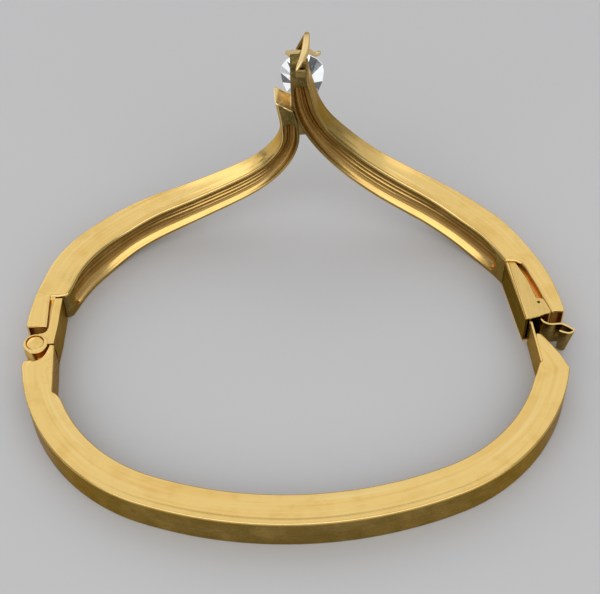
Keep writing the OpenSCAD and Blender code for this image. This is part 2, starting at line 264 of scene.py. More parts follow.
def skinPart(rings, patinaShadeAmount=0.0, warmReflection=0.0, loop=False):
    # Points, faces and values of a closed skin over rings (n, m, 3): quads between the
    # rings and one flat face on each end, or more quads where the last ring meets the first
    n, m = rings.shape[:2]
    row, column = np.meshgrid(np.arange(n if loop else n - 1), np.arange(m), indexing="ij")
    here, beyond, beside = row * m, (row + 1) % n * m, (column + 1) % m
    quads = np.stack([here + column, here + beside, beyond + beside, beyond + column], -1)
    faces = [quads.reshape(-1, 4)]
    if not loop:
        faces += [np.arange(m)[::-1][None], ((n - 1) * m + np.arange(m))[None]]
    middle = rings.mean(1)
    along = np.concatenate([[0], np.cumsum(np.linalg.norm(np.diff(middle, axis=0), axis=1))])
    across = np.cumsum(np.linalg.norm(rings - np.roll(rings, 1, 1), axis=2), 1)
    values = {"along": along[:, None], "across": across, "patinaShadeAmount": patinaShadeAmount, "warmReflection": warmReflection}
    values = {key: np.broadcast_to(value, (n, m)).ravel() for key, value in values.items()}
    return rings.reshape(-1, 3), faces, values


def joinParts(name, parts):
    # One gold piece from several closed skins, each turned to face outwards
    points, blocks, first = [], {}, 0
    for place, faces, values in parts:
        turned = volumeOf(place, faces) < 0
        for block in faces:
            block = block[:, ::-1] if turned else block
            blocks.setdefault(block.shape[1], []).append(block + first)
        points.append(place)
        first += len(place)
    values = {key: np.concatenate([part[2][key] for part in parts]) for key in parts[0][2]}
    faces = [np.concatenate(found) for found in blocks.values()]
    return makeMesh(name, np.concatenate(points), faces, gold, values=values)


def unit(vectors):
    return vectors / np.maximum(np.linalg.norm(vectors, axis=-1, keepdims=True), 1e-9)


def leftOf(way):
    # Plan directions turned a quarter to the left
    return np.stack([-way[:, 1], way[:, 0]], -1)


def circleAt(angles, radius=1.0, centre=(0.0, 0.0)):
    # Points of a circle: its centre plus its radius times (cos, sin)
    return np.array(centre) + radius * np.stack([np.cos(angles), np.sin(angles)], -1)


def lift(plan, heights):
    # Plan points with a height for all, for each, for each column or for each ring [n, 1]
    heights = np.asarray(heights, float)[..., None]
    return np.concatenate([plan, np.broadcast_to(heights, (*plan.shape[:-1], 1))], -1)


def roundOutline(sides, radius=1.0, centre=(0.0, 0.0)):
    # A whole circle with so many sides
    return circleAt(np.linspace(0, 2 * np.pi, sides, endpoint=False), radius, centre)


def quarterCircle(radius, steps=5):
    # Rows [draw-in, rise] of a rounded edge: radius times (1 - sin, 1 - cos) over a quarter turn
    angles = np.radians(np.linspace(0, 90, steps))
    return radius * (1 - np.stack([np.sin(angles), np.cos(angles)], -1))


def inwardInRing(ring):
    # Direction from each point of a flat ring to its inside: the tangent turned about
    # the ring's own axis, with the sign that the ring's turning sense asks for
    tangent = unit(np.roll(ring, -1, 0) - np.roll(ring, 1, 0))
    offset = ring - ring.mean(0)
    axis = unit(np.cross(offset, np.roll(offset, -1, 0)).sum(0))
    return np.cross(axis, tangent)


def roundEnds(rings, radius, steps=4, ends=(True, True)):
    # Adds rings that ease each end into its flat face: the end ring moves back by the
    # radius and draws in along a quarter circle
    angles = np.radians(np.linspace(0, 90, steps + 1))[:, None, None]
    for wanted in ends:
        rings = rings[::-1]
        if wanted:
            end = rings[-1]
            outward = unit((end - rings[-2]).mean(0))
            eased = inwardInRing(end) * (1 - np.cos(angles)) + outward * (np.sin(angles) - 1)
            rings = np.concatenate([rings[:-1], end + radius * eased])
    return rings


def roundCorners(corners, radius, steps=5):
    # Each corner of a closed outline becomes a quadratic curve between the points one
    # radius before and after it, or 0.45 of the side's length where that is less
    corners = np.array(corners, float)
    ends = []
    for shift in (1, -1):
        side = np.roll(corners, shift, 0) - corners
        length = np.linalg.norm(side, axis=1, keepdims=True)
        ends.append((corners + side / length * np.minimum(radius, 0.45 * length))[:, None])
    u = np.linspace(0, 1, steps)[None, :, None]
    curve = (1 - u) ** 2 * ends[0] + 2 * u * (1 - u) * corners[:, None] + u ** 2 * ends[1]
    return curve.reshape(-1, 2)


def blockPart(outline, low, high, bevel=0.08, corner=0.0, cornerSteps=5, edges=(True, True),
              patinaShadeAmount=0.0, warmReflection=0.0, top=(0.0, 0.0)):
    # Upright block over a plan outline: rings of the outline at rising heights, drawn
    # in along a quarter circle at the bottom and at the top. Its patina, also painted shade,
    # and its amber, a painted warm reflection, are those of its sides, and top holds those of
    # its flat faces
    outline = roundCorners(outline, corner, cornerSteps) if corner else np.array(outline, float)
    inward = leftOf(unit(np.roll(outline, -1, 0) - np.roll(outline, 1, 0)))
    following = np.roll(outline, -1, 0)
    area = (outline[:, 0] * following[:, 1] - outline[:, 1] * following[:, 0]).sum()
    inward = inward if area > 0 else -inward
    rim = quarterCircle(bevel)
    lower = rim + (0, low) if edges[0] else np.array([[0.0, low]])
    upper = rim[::-1] * (1, -1) + (0, high) if edges[1] else np.array([[0.0, high]])
    levels = np.concatenate([lower, upper])[:, None]
    side = np.where(levels[..., 0] > bevel * 0.25, 0, 1)
    looks = [flat + side * (flank - flat) for flank, flat in zip((patinaShadeAmount, warmReflection), top)]
    points, faces, data = skinPart(lift(outline + inward * levels[..., :1], levels[..., 1]), *looks)
    data.update(along=data["across"], across=points[:, 2])
    return points, faces, data


def lathePart(profile, centre=(0.0, 0.0), sides=72, patinaShadeAmount=0.0, warmReflection=0.0):
    # Ring or disc turned about an upright axis: closed profile [radius, height], every
    # point carried once round the circle
    plan = roundOutline(sides)[:, None] * profile[:, :1] + np.array(centre)
    return skinPart(lift(plan, profile[:, 1]), patinaShadeAmount, warmReflection, loop=True)


def sheetOutline(line, thickness):
    # Outline of a bent sheet: its middle line moved half a thickness to either side,
    # with round ends
    tangent = unit(np.gradient(line, axis=0))
    side = leftOf(tangent) * thickness / 2
    turn = np.radians(np.linspace(80, -80, 7))[:, None]
    nose = line[-1] + tangent[-1] * np.cos(turn) * thickness / 2 + side[-1] * np.sin(turn)
    tail = line[0] - tangent[0] * np.cos(turn) * thickness / 2 - side[0] * np.sin(turn)
    return np.concatenate([line + side, nose, (line - side)[::-1], tail])


def smoothRows(rows, t):
    # Cubic through the rows whose slope at each row is half the step between its neighbours
    rows = np.array(rows, float)
    last = len(rows) - 1
    i = np.clip(np.floor(t).astype(int), 0, last - 1)
    f = (t - i)[..., None]
    a, b, c, d = rows[np.maximum(i - 1, 0)], rows[i], rows[i + 1], rows[np.minimum(i + 2, last)]
    return b + f * ((c - a) / 2 + f * ((a - 2.5 * b + 2 * c - d / 2) + f * (1.5 * (b - c) + (d - a) / 2)))


def smoothPath(knots, u, reach):
    # Point at u on straight runs between knots [u, x, y], averaged over a short reach
    # to either side so that the corners are round
    reach = np.minimum(reach, np.minimum(u - knots[0, 0], knots[-1, 0] - u))
    near = u[:, None] + reach[:, None] * np.linspace(-1, 1, 13)
    return np.stack([np.interp(near, knots[:, 0], knots[:, k]).mean(1) for k in (1, 2)], -1)


def spread(last, coarse, fine):
    # Rising positions from nought with a coarse step, and a fine one within the given places
    parts = [np.arange(0, last, coarse), [last]]
    for low, high, step in fine:
        parts.append(np.arange(low, min(high, last), step))
    found = np.unique(np.round(np.concatenate(parts), 5))
    return found[np.concatenate([[True], np.diff(found) > 0.012])]


def smoothStep(value, low, high, most=1.0):
    # 0 below low, most above high, and 3 t^2 - 2 t^3 between them
    t = np.clip((value - low) / (high - low), 0, 1)
    return t * t * (3 - 2 * t) * most


# The oval: three arcs in each quarter, as in the part's plan

oval = {
    "halfWidth": 31.0,
    "endRadius": 27.0,
    "shoulderRadius": 21.7,
    "endTurn": 14.0,
    "shoulderTurn": 69.0,
    "wall": 3.6,
}
bandHeight = 4.2

endCentre = np.array([oval["halfWidth"] - oval["endRadius"], 0.0])
shoulderCentre = circleAt(
    math.radians(oval["endTurn"]), oval["endRadius"] - oval["shoulderRadius"], endCentre)
shoulderWay = circleAt(math.radians(oval["shoulderTurn"]))
backRadius = oval["shoulderRadius"] + shoulderCentre[0] / shoulderWay[0]
backCentre = np.array([0.0, shoulderCentre[1] - (backRadius - oval["shoulderRadius"]) * shoulderWay[1]])
arcRadii = np.array([oval["endRadius"], oval["shoulderRadius"], backRadius])
arcCentres = np.array([endCentre, shoulderCentre, backCentre])
arcTurns = np.array([0, oval["endTurn"], oval["shoulderTurn"], 90.0])
middleRadii = arcRadii - oval["wall"] / 2
arcLengths = np.concatenate([[0], np.cumsum(middleRadii * np.radians(np.diff(arcTurns)))])


def wallPoint(turn, depth):
    # Plan point of the wall that faces the angle turn: the arc's centre plus its radius,
    # less the depth, in that direction
    mirrored = turn > 90
    turn = np.where(mirrored, 180 - turn, turn)
    arc = np.searchsorted(arcTurns[1:3], turn, side="right")
    point = arcCentres[arc] + (arcRadii[arc] - depth)[..., None] * circleAt(np.radians(turn))
    point[..., 0] = np.where(mirrored, -point[..., 0], point[..., 0])
    return point


def turnAt(length):
    # Direction that the wall faces at a length from the end of the oval, linear in each arc
    quarter = arcLengths[-1]
    folded = np.where(length > quarter, 2 * quarter - length, length)
    turn = np.interp(folded, arcLengths, arcTurns)
    turn = np.where(folded < 0, np.degrees(folded / middleRadii[0]), turn)
    return np.where(length > quarter, 180 - turn, turn)


def wallPlace(points):
    # Length along the wall and depth below its outside of plan points in the first quarter
    offset = points[:, None] - arcCentres
    angle = np.degrees(np.arctan2(offset[..., 1], offset[..., 0]))
    arc = (angle[:, 0] >= oval["endTurn"]).astype(int) + (angle[:, 1] >= oval["shoulderTurn"])
    nearest = np.arange(len(points)), arc
    depth = arcRadii[arc] - np.linalg.norm(offset, axis=-1)[nearest]
    return np.stack([np.interp(angle[nearest], arcTurns, arcLengths), depth], -1)


def ladder(outer, inner, columns):
    # Rings between an outer and an inner path: each column lies a share f of the way
    # from the outer path, drawn in by dO, to the inner path, drawn in by dI
    f, drawOuter, drawInner = (columns[..., k, None] for k in range(3))
    outerWay, innerWay = (leftOf(unit(np.gradient(path, axis=0)))[:, None] for path in (outer, inner))
    start = outer[:, None] + outerWay * drawOuter
    end = inner[:, None] - innerWay * drawInner
    return (1 - f) * start + f * end


# The band of the back half

bandValues = {
    "edge": 0.15,
    "dip": 0.05,
    "ends": 0.1,
    # Each side of the plan as knots [place along the band, x, y]: the hinge end, the
    # oval from turn to turn over a run of places, and the clasp end
    "outer": {
        "depth": 0.0,
        "start": [(0, -27.95, -0.36), (0.5, -28.1, -0.9), (1, -28.28, -1.5), (1.5, -28.55, -2.03),
                  (2, -28.95, -2.36), (2.5, -29.3, -2.47), (3.6, -29.9, -2.44), (4, -30.42, -2.44),
                  (4.4, -30.74, -2.66)],
        "turns": (173.2, 12.6),
        "run": (4.8, 80.8),
        "end": [(81.4, 30.22, -5.7), (83.2, 29.67, -4.11), (85.1, 28.77, -2.48), (86.6, 27.98, -1.22),
                (86.9, 27.8, -1.02)],
    },
    "inner": {
        "depth": oval["wall"],
        "start": [(0, -27.45, -0.4), (3.9, -27.24, -3.63), (8.4, -27.06, -6.9), (9, -26.55, -7.22),
                  (9.6, -26.15, -7.72)],
        "turns": (157.6, 18.6),
        "run": (10.3, 79.4),
        "end": [(80.4, 26.6, -6.45), (82, 27.18, -4.93), (82.35, 27.48, -4.78), (86.2, 27.24, -1.5),
                (86.9, 27.28, -1.02)],
    },
    "reach": 0.22,
    "step": 0.4,
    "fine": [(0, 5.4, 0.06), (8, 10.2, 0.06), (79.5, 86.9, 0.06)],
    # Upper side: share of the way from the outer to the inner edge, share of the dip
    "upperSide": [(0.04, 0.95), (0.1, 0.7), (0.15, 0.42), (0.18, 0), (0.21, 0), (0.26, 0.35), (0.3, 0.25),
                  (0.5, 0), (0.66, 0.02), (0.7, 0.2), (0.74, 0.1), (0.84, 0.1), (0.9, 0.45), (0.96, 0.8)],
    "outside": 0.76,  # patina of the four sides, mostly painted shade: the outer face's is a painted reflection of a dark floor
    "above": 0.0,
    "inside": 0.7,
    "below": 0.6,
    "amberRings": 59,  # the rings by the hinge, whose outer face gets amber, a painted warm reflection
}


def sectionColumns(values):
    # Columns of the band's section [f, dO, dI, z, patina with painted shade], round from the
    # outer face over the top to the inner face and back below: flat middle, a lower facet along
    # each edge
    edge, dip = values["edge"], values["dip"]
    outside, above, inside, below = (values[key] for key in ("outside", "above", "inside", "below"))
    rim = quarterCircle(edge)
    heights = (0.25, 0.5, 0.75, 0.9)
    rows = [(0, 0, 0, bandHeight * share, outside) for share in heights]
    rows += [(0, d, 0, bandHeight - dip - r, above) for d, r in rim[::-1]]
    rows += [(f, edge, edge, bandHeight - dip * low, above) for f, low in values["upperSide"]]
    rows += [(1, 0, d, bandHeight - dip - r, above) for d, r in rim]
    rows += [(1, 0, 0, bandHeight * share, inside) for share in heights[::-1]]
    rows += [(1, 0, d, r, inside) for d, r in rim[::-1]]
    rows += [(f, edge, edge, 0, below) for f in (0.9, 0.5, 0.1)]
    rows += [(0, d, 0, r, outside) for d, r in rim]
    return np.array(rows)


def bandPart(values, count=110):
    # The plain band: outer and inner plan paths from the hinge leaf round the front to
    # the tongue, joined by the section's columns
    paths = []
    for side in (values["outer"], values["inner"]):
        wall = wallPoint(np.linspace(*side["turns"], count), np.full(count, side["depth"])) * (1, -1)
        knots = np.concatenate([
            side["start"], np.column_stack([np.linspace(*side["run"], count), wall]), side["end"]])
        u = spread(knots[-1, 0], values["step"], values["fine"])
        paths.append(smoothPath(knots, u, values["reach"]))
    columns = sectionColumns(values)
    rings = roundEnds(lift(ladder(*paths, columns[None]), columns[:, 3]), values["ends"])
    # Amber on the outer face by the hinge is a painted warm reflection
    atHinge = np.arange(len(rings))[:, None] < values["amberRings"]
    outerFace = (columns[:, 0] < 0.02) & (columns[:, 4] > 0)
    return skinPart(rings, columns[:, 4], atHinge & outerFace)


bandPiece = joinParts("backBand", [bandPart(bandValues)])
print("band made:", len(bandPiece.data.vertices), "points")


# The hinge: knuckles, leaves and pin

hingeValues = {
    "axis": (-29.65, 0.0),
    "outside": 1.297,
    "bore": 0.63,
    "sink": 1.03,
    "sinkDepth": 0.38,
    "rim": 0.07,
    "gap": 0.08,
    "knuckle": (bandHeight - 2 * 0.08) / 3,
    "lean": (0.085, -0.2),
    "swell": 0.06,
    # The upper leaf's plan: its outer side, an arc [radius, from, to] at the knuckles
    # it carries and one where it clears the middle knuckle, and its inner side
    "leafTop": 4.14,
    "leafOuter": [(-28.07, 6.5), (-28.2, 4.2), (-28.28, 2.3), (-28.38, 1.85), (-28.6, 1.52), (-28.95, 1.34),
                  (-29.3, 1.3)],
    "leafBite": (1.16, 78, -9),
    "leafClear": (1.417, 22, 0),
    "leafInner": [(-27.5, -0.2), (-27.28, 2.2), (-27.09, 6.5)],
    "clearInner": (-27.48, 0.0),
    # The leaf's patina is also painted shade, a painted reflection of a dark floor
    "leafPatinaAndShade": 0.8,
    "leafEdges": (0.06, 0.07),
    "pinRadius": 0.55,
    "headRadius": 0.95,
    "headHeight": 0.3,
    "headSide": 0.13,
    "dome": 0.09,
    "domeShare": 0.95,
    "pole": 0.02,
    "play": 0.03,
    # The middle knuckle, the web and the channel: patina with painted shade, and amber, a painted warm
    # reflection
    "middleLook": {"patinaShadeAmount": 0.5, "warmReflection": 0.7},
    "web": {
        "outline": [(-29.65, -1.1), (-29.0, -2.7), (-28.1, -2.3), (-27.75, -0.5), (-28.2, -0.32),
                    (-28.6, -0.3)],
        "bevel": 0.04, "corner": 0.05, "patinaShadeAmount": 0.5, "warmReflection": 0.7, "top": (0.5, 0)},
    "channel": {
        "outline": [(-28.55, 2.15), (-28.1, 2.1), (-27.98, 6.6), (-28.55, 6.6)],
        "low": 0.3, "high": 3.72, "bevel": 0.02, "patinaShadeAmount": 0.3, "warmReflection": 0.8, "top": (0.25, 0)},
    "solder": {
        "outline": [(-28.5, 6.25), (-27.95, 6.3), (-27.9, 6.8), (-28.5, 6.95)],
        "low": 3.0, "high": 4.17, "bevel": 0.05, "corner": 0.08},
}
knuckleStep = hingeValues["knuckle"] + hingeValues["gap"]


def knuckleProfile(values, low, sinkSide):
    # Wall of a knuckle [radius, height] with round rims, sunk for the head of the pin
    # above where sinkSide is 1, below where it is -1
    outside, bore, sink, tall = (values[key] for key in ("outside", "bore", "sink", "knuckle"))
    floor = tall - values["sinkDepth"]
    upper = [(sink, tall), (sink, floor), (bore, floor)] if sinkSide else [(bore, tall)]
    corners = np.array([(bore, 0), (outside, 0), (outside, tall), *upper])
    if sinkSide < 0:
        corners = (corners * (1, -1) + (0, tall))[::-1]
    return roundCorners(corners + (0, low), values["rim"])


def outerKnuckle(values, low, sinkSide):
    # An outer knuckle: its wall is a little wider than the middle one's and leans
    # towards the band, more and more from the rim of the bore outwards
    points, faces, data = lathePart(knuckleProfile(values, low, sinkSide), values["axis"])
    offset = points[:, :2] - values["axis"]
    room = values["outside"] - values["sink"]
    far = np.clip((np.linalg.norm(offset, axis=1) - values["sink"]) / room, 0, 1)
    points[:, :2] += far[:, None] * (offset * values["swell"] + values["lean"])
    return points, faces, data


def leafParts(values):
    # The upper leaf in three heights over one plan: down its outer side, over a fillet
    # to the knuckle, round the bite that the knuckle fills and up its inner side. The
    # fillet is only beside the leaf's own two knuckles
    bite, clear = (
        circleAt(np.radians(np.linspace(first, last, 14)), radius, values["axis"])
        for radius, first, last in (values["leafBite"], values["leafClear"]))
    outer, inner, patinaAndShade = values["leafOuter"], values["leafInner"], values["leafPatinaAndShade"]
    lowEdge, topEdge = values["leafEdges"]
    full = np.concatenate([outer, bite, inner])
    plain = np.concatenate([outer[:3], clear, [values["clearInner"]], inner[1:]])
    return [
        blockPart(full, 0, values["knuckle"], lowEdge, edges=(True, False), patinaShadeAmount=patinaAndShade),
        blockPart(plain, values["knuckle"], 2 * knuckleStep, edges=(False, False), patinaShadeAmount=patinaAndShade),
        blockPart(full, 2 * knuckleStep, values["leafTop"], topEdge, edges=(False, True), patinaShadeAmount=patinaAndShade),
    ]


def pinPart(values, sides=72):
    # The pin turned as one piece, with a low dome on each head
    low, high = values["play"], bandHeight - values["play"]
    head, shaft, tall, edge = (values[key] for key in ("headRadius", "pinRadius", "headHeight", "headSide"))
    dome = np.linspace(0, 1, 9)
    cap = np.stack([head * values["domeShare"] * dome, values["dome"] * dome ** 2], -1)
    profile = np.concatenate([
        cap + (0, low),
        [(head, low + edge), (head, low + tall), (shaft, low + tall)],
        [(shaft, high - tall), (head, high - tall), (head, high - edge)],
        (cap * (1, -1) + (0, high))[::-1]])
    plan = np.maximum(profile[:, None, :1], values["pole"]) * roundOutline(sides) + values["axis"]
    return skinPart(lift(plan, profile[:, 1:]))


knuckles = joinParts("outerKnuckles", [
    outerKnuckle(hingeValues, 0, -1), outerKnuckle(hingeValues, 2 * knuckleStep, 1)])
hingeLeaf = joinParts("hingeLeaf", leafParts(hingeValues) + [
    blockPart(**hingeValues["channel"]), blockPart(**hingeValues["solder"])])
hingePin = joinParts("pin", [pinPart(hingeValues)])
middleKnuckle = joinParts("middleKnuckle", [
    lathePart(knuckleProfile(hingeValues, knuckleStep, 0), hingeValues["axis"], **hingeValues["middleLook"]),
    blockPart(low=knuckleStep, high=knuckleStep + hingeValues["knuckle"], **hingeValues["web"])])
print("hinge made")


# The two arms of the top half

# Rows along each arm's middle line on the unrolled wall: length along the wall, height,
# width, thickness, depth below the oval's outside
leftRows = [
    [2.32, 2.1, 4.2, 3.6, 0], [8, 2.2, 4.4, 3.8, -0.2], [12, 2.55, 5.1, 3.8, -0.2],
    [16.5, 2.6, 5.2, 3.65, -0.05], [20.5, 3, 4.5, 3.6, 0], [25, 3.75, 4.35, 3.3, 0.3],
    [30, 4.8, 3.9, 3, 0.55], [35, 6.6, 3.55, 2.8, 0.75], [38.4, 8.6, 3.1, 2.7, 0.85],
    [40.7, 11.1, 2.65, 2.7, 0.85], [41.9, 13.8, 2.35, 2.7, 0.85], [41.95, 16.8, 2.25, 2.8, 0.75],
    [41.47, 19.6, 2.05, 3, 0.55], [41.35, 20.8, 1.94, 3, 0.55]]
rightRows = [
    [2.1, 2.1, 4.2, 3.7, -0.1], [7, 2.15, 4.3, 3.68, -0.08], [12, 2.3, 4.6, 3.65, -0.05],
    [16, 2.65, 5.2, 3.65, -0.05], [20.3, 3.6, 4.7, 3.6, 0.05], [25, 5.25, 4.5, 3.3, 0.35],
    [29.3, 7.2, 4.3, 3.15, 0.5], [33, 9.6, 3.9, 3.05, 0.6], [36, 12.4, 3.5, 3.1, 0.55],
    [38.2, 15.2, 3, 3.2, 0.5], [39.5, 17.8, 2.8, 3.3, 0.4], [40.1, 20.2, 2.7, 3.3, 0.35],
    [40.4, 22.6, 2.3, 3, 0.5], [40.5, 24.4, 2.1, 2.1, 0.85], [40.55, 25.5, 1.9, 1.2, 1.2]]

armValues = {
    "innerEdge": 0.28,
    "outerEdge": 0.14,
    "ends": 0.1,
    "sideDip": 0.05,
    # Upper side: share of the way from the outer to the inner edge, share of the dip
    "upperSide": [(0.96, 0.3), (0.88, 0), (0.72, 0), (0.68, 0.25), (0.64, 0.1), (0.4, 0), (0.3, 0.2),
                  (0.14, 0.6), (0.06, 1)],
    "facePatina": 0.1,  # of the outer face and the upper inner edge, which wear alike
    # Painted shade on the lower side and its edges
    "lowerShade": 0.5,
    "lowerEdgeShade": 0.3,
    "grooveRim": 0.8,
    "landLeast": 0.03,
    "grooveDepth": 0.2,
    "grooveEnd": 0.35,
    "rimPower": 0.6,
    # Places across the groove where its rim lies and where the land beside it ends
    "rimPlace": 1.06,
    "landPlace": 1.3,
    # Across the groove from its lower to its upper lip: place, share of the depth, patina
    # with painted shade, darkest on the upper part
    "grooveShape": [
        (-1.3, 0, 0.7), (-1.1, 0, 0.7), (-1.04, 0, 0.3), (-1.0, 0.03, 0.0), (-0.88, 0.5, 0.0),
        (-0.72, 0.86, 0.05), (-0.52, 0.97, 0.5), (-0.44, 1.0, 0.7), (-0.28, 1.0, 0.8), (-0.04, 1.0, 0.9),
        (0.14, 1.0, 0.95), (0.3, 1.0, 1.0), (0.44, 1.0, 1.0), (0.92, 0.9, 1.0), (0.99, 0.05, 0.9),
        (1.06, 0, 0.9), (1.3, 0, 0.9)],
    # Ridges along the groove's floor [place across, height], and how much of them the foot has
    "ridges": [(-0.36, 0.2), (0.05, 0.3), (0.37, 0.22)],
    "ridgeWidth": 0.06,
    "ridgeLeast": 0.3,
    # Painted shade that comes with the height, on the groove and below, and on the upper side
    "peakShade": (8.0, 14.5, 0.8),
    "sideShade": (12.5, 16.5, 0.75),
    "grooveShare": 0.4,  # the least of it that the groove's upper part gets
    "faceShare": 0.0,  # share of the painted shade that the outer face and the upper inner edge get
    "innerPatinaAndShade": 0.8,  # patina and painted shade of the inner face past the groove's ends
    # Painted highlight: less patina on the groove's floor towards its ends
    "grooveEndHighlight": 0.6,
    # Amber, a painted warm reflection, in the foot and on the groove's floor
    "footAmber": (0.3, 0.9),  # over what length it fades, and how strong it is
    "floorAmber": 0.22,
    # The hollow foot: levels [scale of its rim, how deep, how dark as painted shade]
    "footLevels": [(0.3, 0.8, 1), (0.85, 0.8, 1), (0.88, 0.05, 0.8), (0.91, 0, 0)],
    "footLook": (0.85, 0.45),  # patina with painted shade, and amber, a painted warm reflection, where it is dark
    "peakEnd": 0.9,  # painted shade on the upper end
    "reach": 0.08,
    "step": 0.3,
    "fineStep": 0.04,
    "finePast": 0.6,  # how far past the notch the fine rings go
    "notchGap": 0.4,  # from the notch to the next ring
}
leftValues = {
    **armValues,
    "groove": (1.15, 11.2),
    "ridged": (3.8, 7.0),
    "amberTo": 3.5,
    "fineFrom": 4.0,
    "bend": (10, 14, 0.12),
    "notch": [(28.42, 2.32), (28.46, 4.0), (28.42, 6.74), (27.6, 6.68), (26.72, 6.82), (26.36, 7.1),
              (26.0, 7.9)],
}
rightValues = {
    **armValues,
    "groove": (2.2, 12.0),
    "ridged": (3.4, 6.4),
    "amberTo": 6.3,
    "faceShare": 0.7,
    "fineFrom": 7.0,
    "bend": (14, 19, 0.12),
    "notch": [(29.45, 2.1), (28.8, 4.15), (28.33, 5.8), (27.82, 7.2), (27.32, 8.7), (26.9, 9.45),
              (26.35, 9.85), (24.9, 9.85)],
}


class ArmPath:
    # The arm's middle line on the unrolled wall, its sizes, and the place in space of
    # any point given by length, height across and depth
    def __init__(self, rows, side):
        self.side = side
        self.t = np.linspace(0, len(rows) - 1, 3000)
        self.rows = smoothRows(rows, self.t)
        steps = np.diff(self.rows[:, :2], axis=0)
        self.length = np.concatenate([[0], np.cumsum(np.hypot(steps[:, 0], steps[:, 1]))])
        self.way = unit(np.gradient(self.rows[:, :2], axis=0))

    def value(self, column, length):
        return np.interp(length, self.length, self.rows[:, column])

    def lengthOfWall(self, wall):
        # Length where the foot of the arm has come to a length of the wall
        half = len(self.t) // 2
        return np.interp(wall, self.rows[:half, 0], self.length[:half])

    def place(self, length, across, depth):
        wayLong, wayUp = (np.interp(length, self.length, self.way[:, k]) for k in (0, 1))
        plan = wallPoint(turnAt(self.value(0, length) - wayUp * across), depth + self.value(4, length))
        height = np.maximum(self.value(1, length) + wayLong * across, 0)
        return np.stack([self.side * plan[..., 0], plan[..., 1], height], -1)


noGroove = 9  # groove place of the columns outside the groove


def armColumns(values):
    # Columns of an arm's section [f, dO, dI, share of half width, added height, groove
    # place, patina and painted shade], from the inner upper edge over the upper side, the
    # outer face and the lower side to the groove
    inner, outer, dip = (values[key] for key in ("innerEdge", "outerEdge", "sideDip"))
    face, lower, lowerEdge = (values[key] for key in ("facePatina", "lowerShade", "lowerEdgeShade"))
    rimIn, rimOut = quarterCircle(inner), quarterCircle(outer)
    rim, land = values["rimPlace"], values["landPlace"]
    rows = [(1, 0, d, 1, -r, noGroove, face) for d, r in rimIn[::-1]]
    rows += [(f, outer, inner, 1, -dip * low, noGroove, 0) for f, low in values["upperSide"]]
    rows += [(0, d, 0, 1, -dip - r, noGroove, 0) for d, r in rimOut]
    rows += [(0, 0, 0, share, 0, noGroove, face) for share in (0.6, 0.3, 0, -0.3, -0.6)]
    rows += [(0, d, 0, -1, r, noGroove, lowerEdge) for d, r in rimOut[::-1]]
    rows += [(f, outer, inner, -1, 0, noGroove, lower) for f in (0.1, 0.4, 0.7, 0.9)]
    rows += [(1, 0, d, -1, r, noGroove, lowerEdge) for d, r in rimIn]
    beside = np.linspace(rim + 0.02, land, 4)
    across = np.concatenate([-beside[::-1], np.linspace(-rim, rim, 72), beside])
    rows += [(1, 0, 0, 0, 0, place, 0) for place in across]
    return np.array(rows, float)


def grooveProfile(values, place):
    # Depth and patina at places across the groove, each averaged over its neighbours
    shape = np.array(values["grooveShape"])
    fine, blur = np.linspace(-values["landPlace"], values["landPlace"], 521), 5
    window = np.full(2 * blur + 1, 1 / (2 * blur + 1))
    found = []
    for k in (1, 2):
        line = np.pad(np.interp(fine, shape[:, 0], shape[:, k]), blur, "edge")
        found.append(np.interp(place, fine, np.convolve(line, window, "valid")))
    return found


def armLook(values, columns, place, share, patinaShadeShare, length, height):
    # Patina and painted shade, and amber, of an arm: the columns' own patina, or the
    # groove's as far as it is sunk, and painted shade that grows towards the peak. Amber, a
    # painted warm reflection, lies in the foot and on the groove's floor
    inGroove = columns[:, 5] != noGroove
    floor = inGroove * (np.abs(place) < 1)
    fade, most = values["footAmber"]
    warmReflection = inGroove * (most - smoothStep(length, values["amberTo"], values["amberTo"] + fade, most))
    warmReflection = np.maximum(warmReflection, floor * share * values["floorAmber"])
    bare, held = values["innerPatinaAndShade"], values["grooveShare"]
    patinaAndShade = np.where(inGroove, bare + (patinaShadeShare - bare) * share, columns[:, 6])
    peak, side = (smoothStep(height, *values[key]) for key in ("peakShade", "sideShade"))
    more = np.where(columns[:, 3] > 0.9, side, peak)
    more = more * np.where(inGroove & (place > -0.6), held + (1 - held) * patinaAndShade, 1)
    more = np.where(columns[:, 6] == values["facePatina"], peak * values["faceShare"], more)
    patinaAndShade = np.clip(patinaAndShade - values["grooveEndHighlight"] * (1 - share) * floor * (share > 0), 0, 1)
    return patinaAndShade + (1 - patinaAndShade) * more, warmReflection


